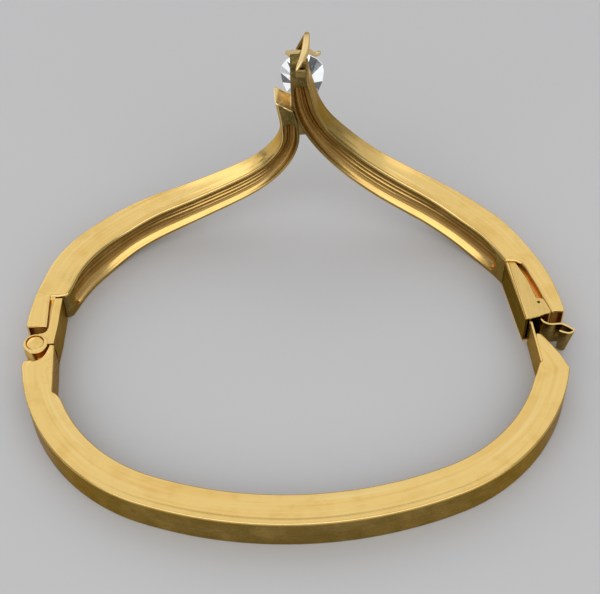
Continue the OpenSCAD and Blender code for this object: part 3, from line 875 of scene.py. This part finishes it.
def armSurface(path, values, outer, inner):
    # Unrolled surface of an arm: the ladder between its outer and inner paths [length,
    # depth], with the groove sunk into the inner face. Gives each point's length, height
    # across and depth, then its patina with painted shade and its amber, a painted warm reflection
    columns = armColumns(values)
    flat = ladder(outer, inner, columns[None, :, :3])
    length, depth = flat[..., 0], flat[..., 1]
    row = np.interp(length, path.length, path.t)
    half = path.value(2, length) / 2
    inGroove = columns[:, 5] != noGroove
    place = np.where(inGroove, columns[:, 5], 0)
    aside = np.abs(place)

    # The groove narrows and rises to its ends as a quarter circle does
    first, last = values["groove"]
    share = np.clip(np.minimum(row - first, last - row) / values["grooveEnd"], 0, 1)
    share = np.sqrt(1 - (1 - share) ** 2)
    rimPlace, landPlace = values["rimPlace"], values["landPlace"]
    land = half - values["innerEdge"]
    rim = np.minimum(values["grooveRim"] * half, land - values["landLeast"]) * share ** values["rimPower"]
    outside = np.sign(place) * (rim + (aside - rimPlace) / (landPlace - rimPlace) * (land - rim))
    grooved = np.where(aside > rimPlace, outside, place * rim / rimPlace)
    across = np.where(inGroove, grooved, columns[:, 3] * half + columns[:, 4])

    # Ridges stand on its floor and carry none of the patina and painted shade, so they show as light lines
    sunk, patinaShadeShare = grooveProfile(values, place)
    ridge = sum(
        tall * np.exp(-((place - middle) / values["ridgeWidth"]) ** 2) for middle, tall in values["ridges"])
    least = values["ridgeLeast"]
    ridge = ridge * (least + smoothStep(row, *values["ridged"], 1 - least))
    depth = depth - (sunk - ridge) * inGroove * share * values["grooveDepth"] * path.value(3, length)
    patinaShadeShare = patinaShadeShare * np.clip(1 - 4 * ridge, 0, 1)
    height = path.place(length, across, depth)[..., 2]
    return length, across, depth, *armLook(values, columns, place, share, patinaShadeShare, length, height)


def armPaths(path, values):
    # Outer and inner paths of an arm. Along the foot the inner one follows the notch
    notch = wallPlace(np.array(values["notch"]))
    foot = path.lengthOfWall(notch[:, 0])
    run = np.concatenate([[0], np.cumsum(np.hypot(np.diff(foot), np.diff(notch[:, 1])))])
    foot[0] = 0
    deep = np.minimum(notch[:, 1] - path.value(4, foot), path.value(3, foot))
    wide = np.linspace(foot[-1] + values["notchGap"], path.length[-1], 80)
    u = np.append(run, run[-1] + wide - foot[-1])
    length = np.append(foot, wide)
    outer = np.column_stack([u, length, np.zeros(len(u))])
    inner = np.column_stack([u, length, np.append(deep, path.value(3, wide))])
    return outer, inner, run[-1]


# The oblique tip of the left arm
tipValues = {
    "at": (-1.38, 18.0, 20.2),
    "tiltDegrees": 34.4,
    "from": 10.2,
    "sink": 0.08,
    "edge": 0.13,
    "floor": (0.63, 0.68, 0.63),
    "floorShift": (0.04, 0.2, -0.027),
}


def cutAtPlane(path, values, length, across, depth):
    # Shortens each column of the arm so that it ends on the oblique plane of the tip
    tilt = math.radians(values["tiltDegrees"])
    normal = np.array([math.sin(tilt), 0, math.cos(tilt)])
    start, total = np.interp(values["from"], path.t, path.length), path.length[-1]
    trial = np.linspace(start, total, 160)
    rails = path.place(trial[:, None], across[-1], depth[-1])
    far = (rails - np.array(values["at"])) @ normal
    hit = np.argmax(far > 0, 0)
    each = np.arange(len(hit))
    before, after = far[hit - 1, each], far[hit, each]
    stop = trial[hit - 1] + (trial[hit] - trial[hit - 1]) * before / (before - after)
    shorter = start + (length - start) * (stop - start) / (total - start)
    return path.place(np.where(length > start, shorter, length), across, depth), normal


def middleOf(ring):
    # Middle of a ring's extent in each direction
    return (ring.min(0) + ring.max(0)) / 2


def sunkTip(values, last, normal):
    # Rings that end the tip, and their share of satin, whose paler colour is a painted
    # highlight: a rounded rim, then a smaller ring that goes down to the sunk floor
    edge, sink, floor = values["edge"], values["sink"], np.array(values["floor"])
    # Levels [scale from the rim's, share of the floor's shift, rise, satin]
    levels = [
        (1, 0, -edge, 0), (1 - 0.3 * edge, 0, -0.3 * edge, 0.7), (1 - edge, 0, 0, 0.9),
        (floor + 0.02, 1, 0, 0.9), (floor, 1, -0.02, 0.9), (floor - 0.02, 1, -sink + 0.03, 1),
        (floor - 0.05, 1, -sink, 1), (0.3, 1, -sink, 1)]
    middle, shift = middleOf(last), np.array(values["floorShift"])
    rings = [
        middle + (last - middle) * scale + shift * moved + normal * rise
        for scale, moved, rise, _ in levels]
    satinAndSheen = np.array([[share] for *_, share in levels])
    return np.array(rings), np.broadcast_to(satinAndSheen, (len(levels), len(last)))


def openFoot(values, rings, patinaShadeAmount, warmReflection):
    # The foot is sheet round a hollow: from its rim more rings go in, down and shut, with painted shade and
    # amber, a painted warm reflection, inside
    first, way = rings[0], unit((rings[2] - rings[0]).mean(0))
    middle = middleOf(first)
    extra = [middle + (first - middle) * scale + way * sink for scale, sink, _ in values["footLevels"]]
    dark = np.array([[level[2]] * len(first) for level in values["footLevels"]])
    looks = [
        np.concatenate([dark * share, look]) for share, look in zip(values["footLook"], (patinaShadeAmount, warmReflection))]
    return np.concatenate([extra, rings]), *looks


def armPart(path, values, tip=None):
    # An arm from its open foot to its rounded upper end, or to the tip that cuts it
    outerKnots, innerKnots, bend = armPaths(path, values)
    fine = [(values["fineFrom"], bend + values["finePast"], values["fineStep"]), values["bend"]]
    u = spread(outerKnots[-1, 0], values["step"], fine)
    outer, inner = (smoothPath(knots, u, values["reach"]) for knots in (outerKnots, innerKnots))
    length, across, depth, patinaShadeAmount, warmReflection = armSurface(path, values, outer, inner)
    if tip:
        rings, normal = cutAtPlane(path, tip, length, across, depth)
        tipRings, satinAndSheen = sunkTip(tip, rings[-1], normal)
        rings = np.concatenate([rings[:-1], tipRings])
        patinaShadeAmount = np.concatenate([patinaShadeAmount[:-1], -satinAndSheen])
        warmReflection = np.concatenate([warmReflection[:-1], (satinAndSheen == 1) * values["floorAmber"]])
    else:
        rings = path.place(length, across, depth)
    ends, steps = (True, tip is None), 4
    rings = roundEnds(rings, values["ends"], steps, ends)
    added = ((steps, steps * ends[1]), (0, 0))
    patinaShadeAmount = np.pad(patinaShadeAmount, added, constant_values=((0, values["peakEnd"]), (0, 0)))
    return skinPart(*openFoot(values, rings, patinaShadeAmount, np.pad(warmReflection, added, "edge")))


def upright(part):
    # Turns a block so that its plan stands in XZ and its height runs along Y
    points, faces, values = part
    return points[:, [0, 2, 1]], faces, values


# What joins the arms at the peak: a web in the fork, a small pad and a sunk place above
# it, all darkened with painted shade
peakValues = [
    {"outline": [(0.9, 15.0), (2.2, 15.08), (1.75, 16.0), (1.35, 17.2), (1.1, 18.6), (0.6, 18.6)],
     "low": 21.22, "high": 23.4, "bevel": 0.15, "corner": 0.2, "patinaShadeAmount": 0.9, "top": (0.85, 0)},
    {"outline": [(0.84, 23.6), (2.2, 23.55), (2.2, 24.72), (0.86, 24.75)],
     "low": 21.36, "high": 22.3, "bevel": 0.2, "corner": 0.3, "patinaShadeAmount": 0.9, "top": (0.75, 0)},
    {"outline": [(1.35, 24.85), (2.2, 24.85), (2.18, 25.36), (1.36, 25.4)],
     "low": 21.72, "high": 22.4, "bevel": 0.03, "corner": 0.1, "patinaShadeAmount": 0.9, "warmReflection": 0.1, "top": (0.95, 0)},
]

leftArm = joinParts("leftArm", [armPart(ArmPath(leftRows, -1), leftValues, tipValues)])
rightArm = joinParts("rightArm", [armPart(ArmPath(rightRows, 1), rightValues)] + [
    upright(blockPart(**part)) for part in peakValues])
print("arms made:", len(leftArm.data.vertices), len(rightArm.data.vertices), "points")


# The clasp: box, tongue and spring leaf

plateHeight = 0.28
sheetWall = {"low": plateHeight - 0.01, "high": bandHeight - plateHeight + 0.01,
             "corner": 0.02, "cornerSteps": 2, "edges": (False, False)}
claspValues = {
    "plan": [(25.12, 9.87), (26.41, 1.15), (28.23, 1.69), (29.46, 2.06), (28.8, 4.14), (28.08, 4.18),
             (27.32, 7.15), (26.27, 9.87)],
    "corner": 0.22,
    "bottomEdge": 0.05,
    # The outer side wall is darkened as a painted reflection of a dark floor; the slot's side wall and the
    # back get patina with painted shade and amber, a painted warm reflection
    "walls": [
        {"outline": [(25.12, 9.8), (26.4, 1.2), (26.68, 1.29), (25.7, 7.7), (25.4, 9.8)],
         "patinaShadeAmount": 1.15, **sheetWall},
        {"outline": [(26.27, 9.8), (27.32, 7.15), (28.08, 4.18), (28.8, 4.14), (29.42, 2.12), (29.2, 2.06),
                     (28.62, 3.92), (27.92, 3.98), (27.14, 7.1), (26.0, 9.8)],
         "patinaShadeAmount": 0.3, "warmReflection": 0.5, **sheetWall},
        {"outline": [(25.2, 9.8), (25.6, 7.7), (27.0, 7.7), (26.2, 9.8)],
         "patinaShadeAmount": 0.4, "warmReflection": 0.8, **sheetWall}],
    "rim": {
        "outline": [(25.12, 9.87), (26.4, 1.2), (26.8, 1.33), (25.55, 9.87)],
        "low": 3.8, "high": bandHeight, "corner": 0.03, "cornerSteps": 3},
    # The slot's floor and top are amber, a painted warm reflection
    "slotFloor": {
        "outline": [(26.3, 9.8), (27.25, 7.3), (28.0, 4.3), (28.95, 4.2), (28.4, 6.2), (27.5, 8.9),
                    (27.0, 9.8)],
        "low": 0.3, "high": 3.6, "bevel": 0.02, "warmReflection": 0.9, "top": (0, 0.9)},
    # The top plate: its edge, wider on the lip in front, how deep it lies, and its hole
    "edge": 0.045,
    "lipEdge": 0.07,
    "lipBelow": 2.3,
    "panel": 0.035,
    "coverPatina": 0.15,
    "coverStep": 0.4,
    "peep": (28.2, 3.6),
    "peepRadius": 0.175,
    # The tongue: a line that is lower past its split, and the bead on its end
    "sheet": 0.25,
    "tongue": [(27.4, -5.0), (26.6, 6.3)],
    "tongueSplit": 0.7,
    "tongueLap": 0.3,
    "tongueHeights": [(0.15, 4.06), (0.5, 3.7)],
    "tongueEdges": (0.05, 0.06),
    "tonguePatina": 0.6,
    "beadRadius": 0.2,
    "beadBite": 0.03,
    "beadBack": 0.1,
}


def coverPart(values):
    # The top plate as a ring of quads between the small round hole and the box's outline:
    # levels [plan, height] up the hole's wall, out over the panel, round its edge from
    # the side up, and down to the walls
    outline = roundCorners(values["plan"], values["corner"])
    dense = np.concatenate([
        np.linspace(a, b, 2 + int(math.dist(a, b) / values["coverStep"]))[:-1]
        for a, b in zip(outline, np.roll(outline, -1, 0))])
    inward = leftOf(unit(unit(np.roll(dense, -1, 0) - dense) + unit(dense - np.roll(dense, 1, 0))))
    aside = unit(dense - values["peep"])
    edge = np.where(dense[:, 1] < values["lipBelow"], values["lipEdge"], values["edge"])
    under, panel = sheetWall["high"], bandHeight - values["panel"]
    levels = [(values["peep"] + aside * (values["peepRadius"] + wide), height) for wide, height in (
        (0, under), (0, panel - 0.02), (0.03, panel), (0.06, panel))]
    levels += [(dense + inward * (edge + gap)[:, None], panel) for gap in (0.03, 0.015, 0)]
    levels += [
        (dense + inward * (edge * d)[:, None], panel - edge * r) for d, r in quarterCircle(1, 4)[::-1]]
    levels += [(dense, under)]
    # Amber on the wall of the small hole is a painted warm reflection
    glow = np.array([0.8, 0.3] + [0] * (len(levels) - 2))[:, None]
    rings = np.array([lift(plan, height) for plan, height in levels])
    points, faces, data = skinPart(rings, values["coverPatina"], glow, loop=True)
    data.update(along=points[:, 1], across=points[:, 0])
    return points, faces, data


def boxParts(values):
    # Sheet box: side walls and back, the rim and the slot's floor between a bottom and a
    # top plate
    blocks = [blockPart(**part) for part in (*values["walls"], values["rim"], values["slotFloor"])]
    bottom = blockPart(
        values["plan"], 0, plateHeight, values["bottomEdge"], values["corner"], edges=(True, False))
    return blocks + [coverPart(values), bottom]


def tongueParts(values):
    # The tongue: a flat upright sheet, lower inside the box, with a bead along its end
    (startX, startY), (endX, endY) = values["tongue"]

    def onLine(y):
        return startX + (endX - startX) * (y - startY) / (endY - startY), y

    split, sheet, radius = values["tongueSplit"], values["sheet"], values["beadRadius"]
    outer, inner = values["tongueHeights"]
    outerEdge, innerEdge = values["tongueEdges"]
    outside = np.linspace((startX, startY), onLine(split), 12)
    inside = np.linspace(onLine(split - values["tongueLap"]), (endX, endY), 12)
    beadAt = (endX + sheet / 2 + radius - values["beadBite"], endY - values["beadBack"])
    return [
        blockPart(sheetOutline(outside, sheet), *outer, outerEdge, patinaShadeAmount=values["tonguePatina"]),
        blockPart(sheetOutline(inside, sheet), *inner, innerEdge),
        blockPart(roundOutline(28, radius, beadAt), *inner, innerEdge)]


leafValues = {
    "line": [(27.58, 4.3), (28.0, 2.6), (28.3, 1.35), (28.75, 0.87), (29.35, 0.68), (30.4, 0.7),
             (30.95, 0.42), (31.5, -0.03), (31.76, -0.26), (31.5, -0.58), (31.05, -0.68), (30.5, -0.52),
             (30.15, -0.34)],
    "bead": (26.895, 6.2),
    "curl": 0.33,
    "curlTurns": (110, -40),
    "thickness": 0.24,
    "edge": 0.05,
    "height": 3.2,
    # The patina here is mostly painted shade, a painted reflection of a dark floor
    "patinaAndShade": 0.75,
    "taperFrom": 30.2,
    "taper": 0.45,
    "taperPower": 1.5,
}


def springLeafPart(values):
    # Bent spring sheet: an arc round the bead, then a smooth curve through the bends of
    # its line, given thickness and height. Its tab draws in towards the bottom
    arc = circleAt(np.radians(np.linspace(*values["curlTurns"], 17)), values["curl"], values["bead"])
    bends = smoothRows(values["line"], np.linspace(0, len(values["line"]) - 1, 90))
    outline = sheetOutline(np.concatenate([arc, bends]), values["thickness"])
    low, high = (bandHeight - values["height"]) / 2, (bandHeight + values["height"]) / 2
    points, faces, data = blockPart(outline, low, high, values["edge"], patinaShadeAmount=values["patinaAndShade"])
    below = ((high - points[:, 2]) / values["height"]) ** values["taperPower"]
    points[:, 0] -= np.maximum(points[:, 0] - values["taperFrom"], 0) * values["taper"] * below
    return points, faces, data


claspBox = joinParts("claspBox", boxParts(claspValues))
tongue = joinParts("tongue", tongueParts(claspValues))
springLeaf = joinParts("springLeaf", [springLeafPart(leafValues)])
print("clasp made")


# The setting and the stone

# Rods as rows [x, y, z, half thickness across, half thickness along up]
settingValues = {
    "pointClaw": {"up": (1, 0, 0), "rows": [
        [1.78, 23.6, 16.45, 0.4, 0.4], [1.78, 24.8, 15.05, 0.38, 0.36], [1.78, 26.1, 14.1, 0.36, 0.32],
        [1.78, 27.3, 13.9, 0.34, 0.3], [1.78, 27.87, 14.35, 0.3, 0.24], [1.78, 27.92, 14.85, 0.16, 0.12]]},
    # The claws are satin, whose paler colour is a painted highlight
    "leftClaw": {"power": 3, "patinaShadeAmount": -0.8, "rows": [
        [1.72, 24.4, 24.8, 0.3, 0.28], [1.15, 25.2, 24.18, 0.32, 0.3], [0.55, 26.0, 23.52, 0.32, 0.3],
        [0.22, 26.6, 23.02, 0.3, 0.28], [0.14, 27.3, 22.45, 0.28, 0.26], [0.22, 27.83, 21.85, 0.26, 0.22],
        [0.4, 27.91, 21.4, 0.16, 0.12]]},
    "rightClaw": {"power": 3, "patinaShadeAmount": -0.8, "rows": [
        [2.3, 25.0, 24.5, 0.3, 0.3], [2.62, 25.6, 23.95, 0.32, 0.3], [2.85, 26.1, 23.35, 0.28, 0.26],
        [3.2, 26.4, 22.85, 0.24, 0.22], [3.65, 26.8, 22.65, 0.28, 0.26], [3.75, 27.4, 22.2, 0.26, 0.24],
        [3.6, 27.85, 21.7, 0.24, 0.2], [3.4, 27.91, 21.35, 0.16, 0.12]]},
    "bar": {"rows": [
        [1.75, 25.0, 23.85, 0.13, 0.13], [1.3, 25.0, 23.84, 0.13, 0.13], [0.92, 25.0, 23.82, 0.12, 0.12]]},
    # The blade is satin too, its paler colour a painted highlight
    "blade": {"power": 3.2, "patinaShadeAmount": -0.5, "rows": [
        [1.05, 21.2, 24.85, 0.1, 0.1], [1.3, 21.6, 25.1, 0.22, 0.28], [1.85, 22.6, 25.45, 0.38, 0.45],
        [2.15, 23.8, 25.62, 0.42, 0.5], [2.3, 25, 25.72, 0.4, 0.48], [2.38, 26.1, 25.7, 0.37, 0.42],
        [2.42, 26.7, 25.65, 0.26, 0.24]]},
    # The fin is darkened with painted shade
    "fin": {
        "outline": [(2.3, 25.5), (1.98, 25.45), (1.12, 23.62), (2.3, 23.55)],
        "low": 26.0, "high": 26.7, "bevel": 0.05, "patinaShadeAmount": 0.9, "top": (0.85, 0)},
    "seatAt": (1.68, 19.65),
    "seatRadius": 1.25,
    "seatRim": 0.3,
    "seatFront": 25.15,
    "seatLength": 2.15,
    "seatSink": 0.7,
    "seatCorner": 0.08,
}


def rodPart(rows, up=(0, 0, 1), power=2.0, patinaShadeAmount=0.0, sides=24, steps=12, ends=0.05):
    # Rod along a smooth line: rings of a rounded section (a circle for power 2, nearer
    # to a square above it) whose two half thicknesses follow the rows
    rows = smoothRows(rows, np.linspace(0, len(rows) - 1, steps * (len(rows) - 1)))[:, None]
    way = unit(np.gradient(rows[..., :3], axis=0))
    across = unit(np.cross(way, up))
    high = unit(np.cross(across, way))
    circle = roundOutline(sides)
    section = np.sign(circle) * np.abs(circle) ** (2 / power)
    rings = rows[..., :3] + across * rows[..., 3:4] * section[:, :1] + high * rows[..., 4:5] * section[:, 1:]
    return skinPart(roundEnds(rings, ends, 3), patinaShadeAmount)


def seatPart(values):
    # The post behind the stone: a turned cup about an axis along Y
    radius, front, axle = values["seatRadius"], values["seatFront"], 0.02
    inner, back, floor = radius - values["seatRim"], front - values["seatLength"], front - values["seatSink"]
    corners = [(axle, back), (radius, back), (radius, front), (inner, front), (inner, floor), (axle, floor)]
    return upright(lathePart(roundCorners(corners, values["seatCorner"]), values["seatAt"]))


setting = joinParts("setting", [
    seatPart(settingValues),
    *(rodPart(**settingValues[key]) for key in ("pointClaw", "leftClaw", "rightClaw", "bar")),
    upright(blockPart(**settingValues["fin"]))])
blade = joinParts("blade", [rodPart(**settingValues["blade"])])

cutValues = {
    "at": (1.78, 27.0, 19.85),
    "width": 5.1,
    "length": 8.0,
    "pavilion": 2.1,
    "crown": 0.75,
    "girdle": 0.06,
    "table": 0.56,
    "bezel": 0.8,
    "bezelRise": 0.6,
    "lower": 0.45,
    "lowerDrop": 0.62,
    # How much painted light and shade each facet gets, eight of a kind round the stone
    "stars": (0.2, 0.9, 0.35, 0.1, 0.3, 0.95, 0.3, 0.2),
    "upperFirst": (0.95, 0.3, 0.9, 1, 0.85, 0.2, 0.95, 0.1),
    "upperSecond": (0.4, 1, 0.2, 0.95, 1, 0.9, 0.3, 0.9),
    "lowerFirst": (1, 0.3, 0.3, 0.9, 0.6, 0.3, 1, 0.6),
    "lowerSecond": (0.1, 0.9, 0.9, 0.1, 0.95, 0.6, 0.6, 0.9),
    "kites": (0.35, 0.3, 0.9, 0.3, 0.1, 0.35, 0.9, 0.3),
    "mains": (0.9, 0.35, 0.1, 0.3, 0.9, 0.3, 0.2, 0.3),
    "beltFlash": 0.95,
    "tableFlash": 0.35,
}


def pearOutline(share, width, length):
    # Half a circle above, and two wide arcs that meet in the point below
    r = width / 2
    point = length - r
    wide = (point * point + r * r) / width
    reach = math.asin(point / wide)
    share = np.mod(share, 1)
    upper = circleAt(2 * np.pi * share, r)
    left = circleAt(np.pi + reach * (share - 0.5) * 4, wide, (wide - r, 0))
    right = circleAt(-reach * (1 - share) * 4, wide, (r - wide, 0))
    return np.where((share < 0.5)[:, None], upper, np.where((share < 0.75)[:, None], left, right))


def stonePart(values):
    # Pear brilliant: table, stars, kites and upper facets above the girdle, lower
    # facets and long mains below it, as triangles and quads between rings of the outline
    def ring(shares, scale, height):
        plan = pearOutline(shares, values["width"], values["length"]) * scale
        return lift(plan, height)[:, [0, 2, 1]] + values["at"]

    eight, sixteen = np.arange(8) / 8, np.arange(16) / 16
    between = eight + 1 / 16
    rings = [
        ring(between, values["table"], values["crown"]),
        ring(eight, values["bezel"], values["crown"] * values["bezelRise"]),
        ring(sixteen, 1, values["girdle"]),
        ring(sixteen, 1, -values["girdle"]),
        ring(between, values["lower"], -values["pavilion"] * values["lowerDrop"]),
        ring(eight[:1], 0.001, -values["pavilion"])]
    t, k, g, b, m, c = np.cumsum([0] + [len(points) for points in rings[:-1]])  # first point of each ring
    i, belt = np.arange(8), np.arange(16)
    after, before = (i + 1) % 8, (i - 1) % 8
    even, odd, nextEven, beltNext = 2 * i, 2 * i + 1, (2 * i + 2) % 16, (belt + 1) % 16
    triangles = [
        (t + i, t + after, k + after),
        (k + i, g + even, g + odd),
        (k + after, g + odd, g + nextEven),
        (m + i, b + odd, b + even),
        (m + i, b + nextEven, b + odd),
        (k + i, g + odd, k + after),
        (k + i, k + after, t + i),
        (b + even, m + before, np.full(8, c)),
        (b + even, np.full(8, c), m + i)]
    triangles = np.concatenate([np.stack(corners, -1) for corners in triangles])
    quads = np.stack([g + belt, b + belt, b + beltNext, g + beltNext], -1)
    kinds = ["stars", "upperFirst", "upperSecond", "lowerFirst", "lowerSecond"]
    kinds += ["kites", "kites", "mains", "mains"]  # these are cut in two triangles each
    flashes = [flash for kind in kinds for flash in values[kind]]
    flashes += [values["beltFlash"]] * len(quads) + [values["tableFlash"]]
    return np.concatenate(rings), [triangles, quads, (t + i)[None]], flashes


stonePoints, stoneFaces, stoneFlashes = stonePart(cutValues)
stone = makeMesh(
    "pearStone", stonePoints, stoneFaces, clearStone, smooth=False, facets={"flash": stoneFlashes})
print("setting and stone made")


# What each piece rides on and stands for

piecesOf = {
    ("top", "top_half"): (leftArm, rightArm, knuckles, hingeLeaf, claspBox, setting, blade),
    ("top", "hinge_pin"): (hingePin,),
    ("top", "stone"): (stone,),
    ("back", "back_half"): (bandPiece, middleKnuckle, tongue),
    ("catch", "catch_leaf"): (springLeaf,),
}
for (body, node), pieces in piecesOf.items():
    for piece in pieces:
        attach(piece, body)
        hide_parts(node)


# Camera, floor and light

cameraValues = {
    "place": (0.6646, -92.7934, 121.2928),
    "downDegrees": 50.0,
    "rollRadians": -0.032,
    "focalPixels": 1313.18,
    "pictureWidth": 600,
    "sensor": 36.0,
    "clip": (0.005, 20),
}
floorValues = {"size": 2.0, "colour": (0.60, 0.60, 0.61), "roughness": 0.6}
worldValues = {"low": 0.18, "high": 0.38}
lightValues = {  # place and size in metres, power in watts
    "farSoftBox": {"place": (0.0, 0.51, 0.61), "size": (1.6, 0.7), "power": 1.7},
    "overheadBox": {"place": (0.0, -0.05, 0.8), "size": (1.2, 0.5), "power": 0.6},
    "frontBox": {"place": (0.0, -0.55, 0.52), "size": (2.0, 0.75), "power": 5.2},
    "leftBackBox": {"place": (-0.60, 0.58, 0.34), "size": (0.8, 0.5), "power": 0.75},
    "rightBackBox": {"place": (0.62, 0.56, 0.28), "size": (0.7, 0.4), "power": 0.35},
}


def setPlace(thing, axes, place):
    # Puts a camera or light at a place, with its own X, Y and Z along the axes
    matrix = Matrix(np.column_stack(axes).tolist()).to_4x4()
    matrix.translation = place
    thing.matrix_world = matrix


def makeCamera(values):
    # Looks along +Y and down by the stated angle, then rolls about the view axis
    down, roll = math.radians(values["downDegrees"]), values["rollRadians"]
    back = np.array([0, -math.cos(down), math.sin(down)])
    level, raised = np.array([1.0, 0, 0]), np.array([0, math.sin(down), math.cos(down)])
    right = math.cos(roll) * level + math.sin(roll) * raised
    up = -math.sin(roll) * level + math.cos(roll) * raised
    data = bpy.data.cameras.new("camera")
    data.sensor_width = values["sensor"]
    data.lens = values["focalPixels"] * values["sensor"] / values["pictureWidth"]
    data.clip_start, data.clip_end = values["clip"]
    camera = addToScene("camera", data)
    setPlace(camera, (right, up, back), np.array(values["place"]) * milli)
    bpy.context.scene.camera = camera


def makeFloor(values):
    corners = [(x * values["size"], y * values["size"], 0) for x, y in ((-1, -1), (1, -1), (1, 1), (-1, 1))]
    mesh = bpy.data.meshes.new("floor")
    mesh.from_pydata(corners, [], [(0, 1, 2, 3)])
    material = bpy.data.materials.new("paleFloor")
    start = emptyTree(material)
    shader = start.node("BsdfPrincipled", sockets={
        "Base Color": values["colour"], "Roughness": values["roughness"]})
    start.node("OutputMaterial", sockets={"Surface": shader})
    mesh.materials.append(material)
    addToScene("floor", mesh)


def makeLight(name, place, size, power):
    # Rectangular soft light that shines at the middle of the floor
    data = bpy.data.lights.new(name, "AREA")
    data.shape, data.size, data.size_y = "RECTANGLE", *size
    data.energy = power
    back = unit(np.array(place))
    side = unit(np.cross((0, 0, 1), back))
    setPlace(addToScene(name, data), (side, np.cross(back, side), back), place)


def makeWorld(low, high):
    # Plain surroundings: one grey at the horizon that grows lighter overhead
    world = bpy.data.worlds.new("studio")
    start = emptyTree(world)
    direction = start.node("TexCoord", output=0)
    height = start.node("SeparateXYZ", sockets={"Vector": direction}, output=2)
    colour = height.ramp(0.0, 0.9).tint((low, low, low), (high, high, high))
    background = start.node("Background", sockets={"Color": colour, "Strength": 1.0})
    start.node("OutputWorld", sockets={"Surface": background})
    bpy.context.scene.world = world


makeCamera(cameraValues)
makeFloor(floorValues)
makeWorld(**worldValues)
for lightName, light in lightValues.items():
    makeLight(lightName, **light)
bpy.context.scene.view_settings.view_transform = "Standard"
print("camera, floor and light set")
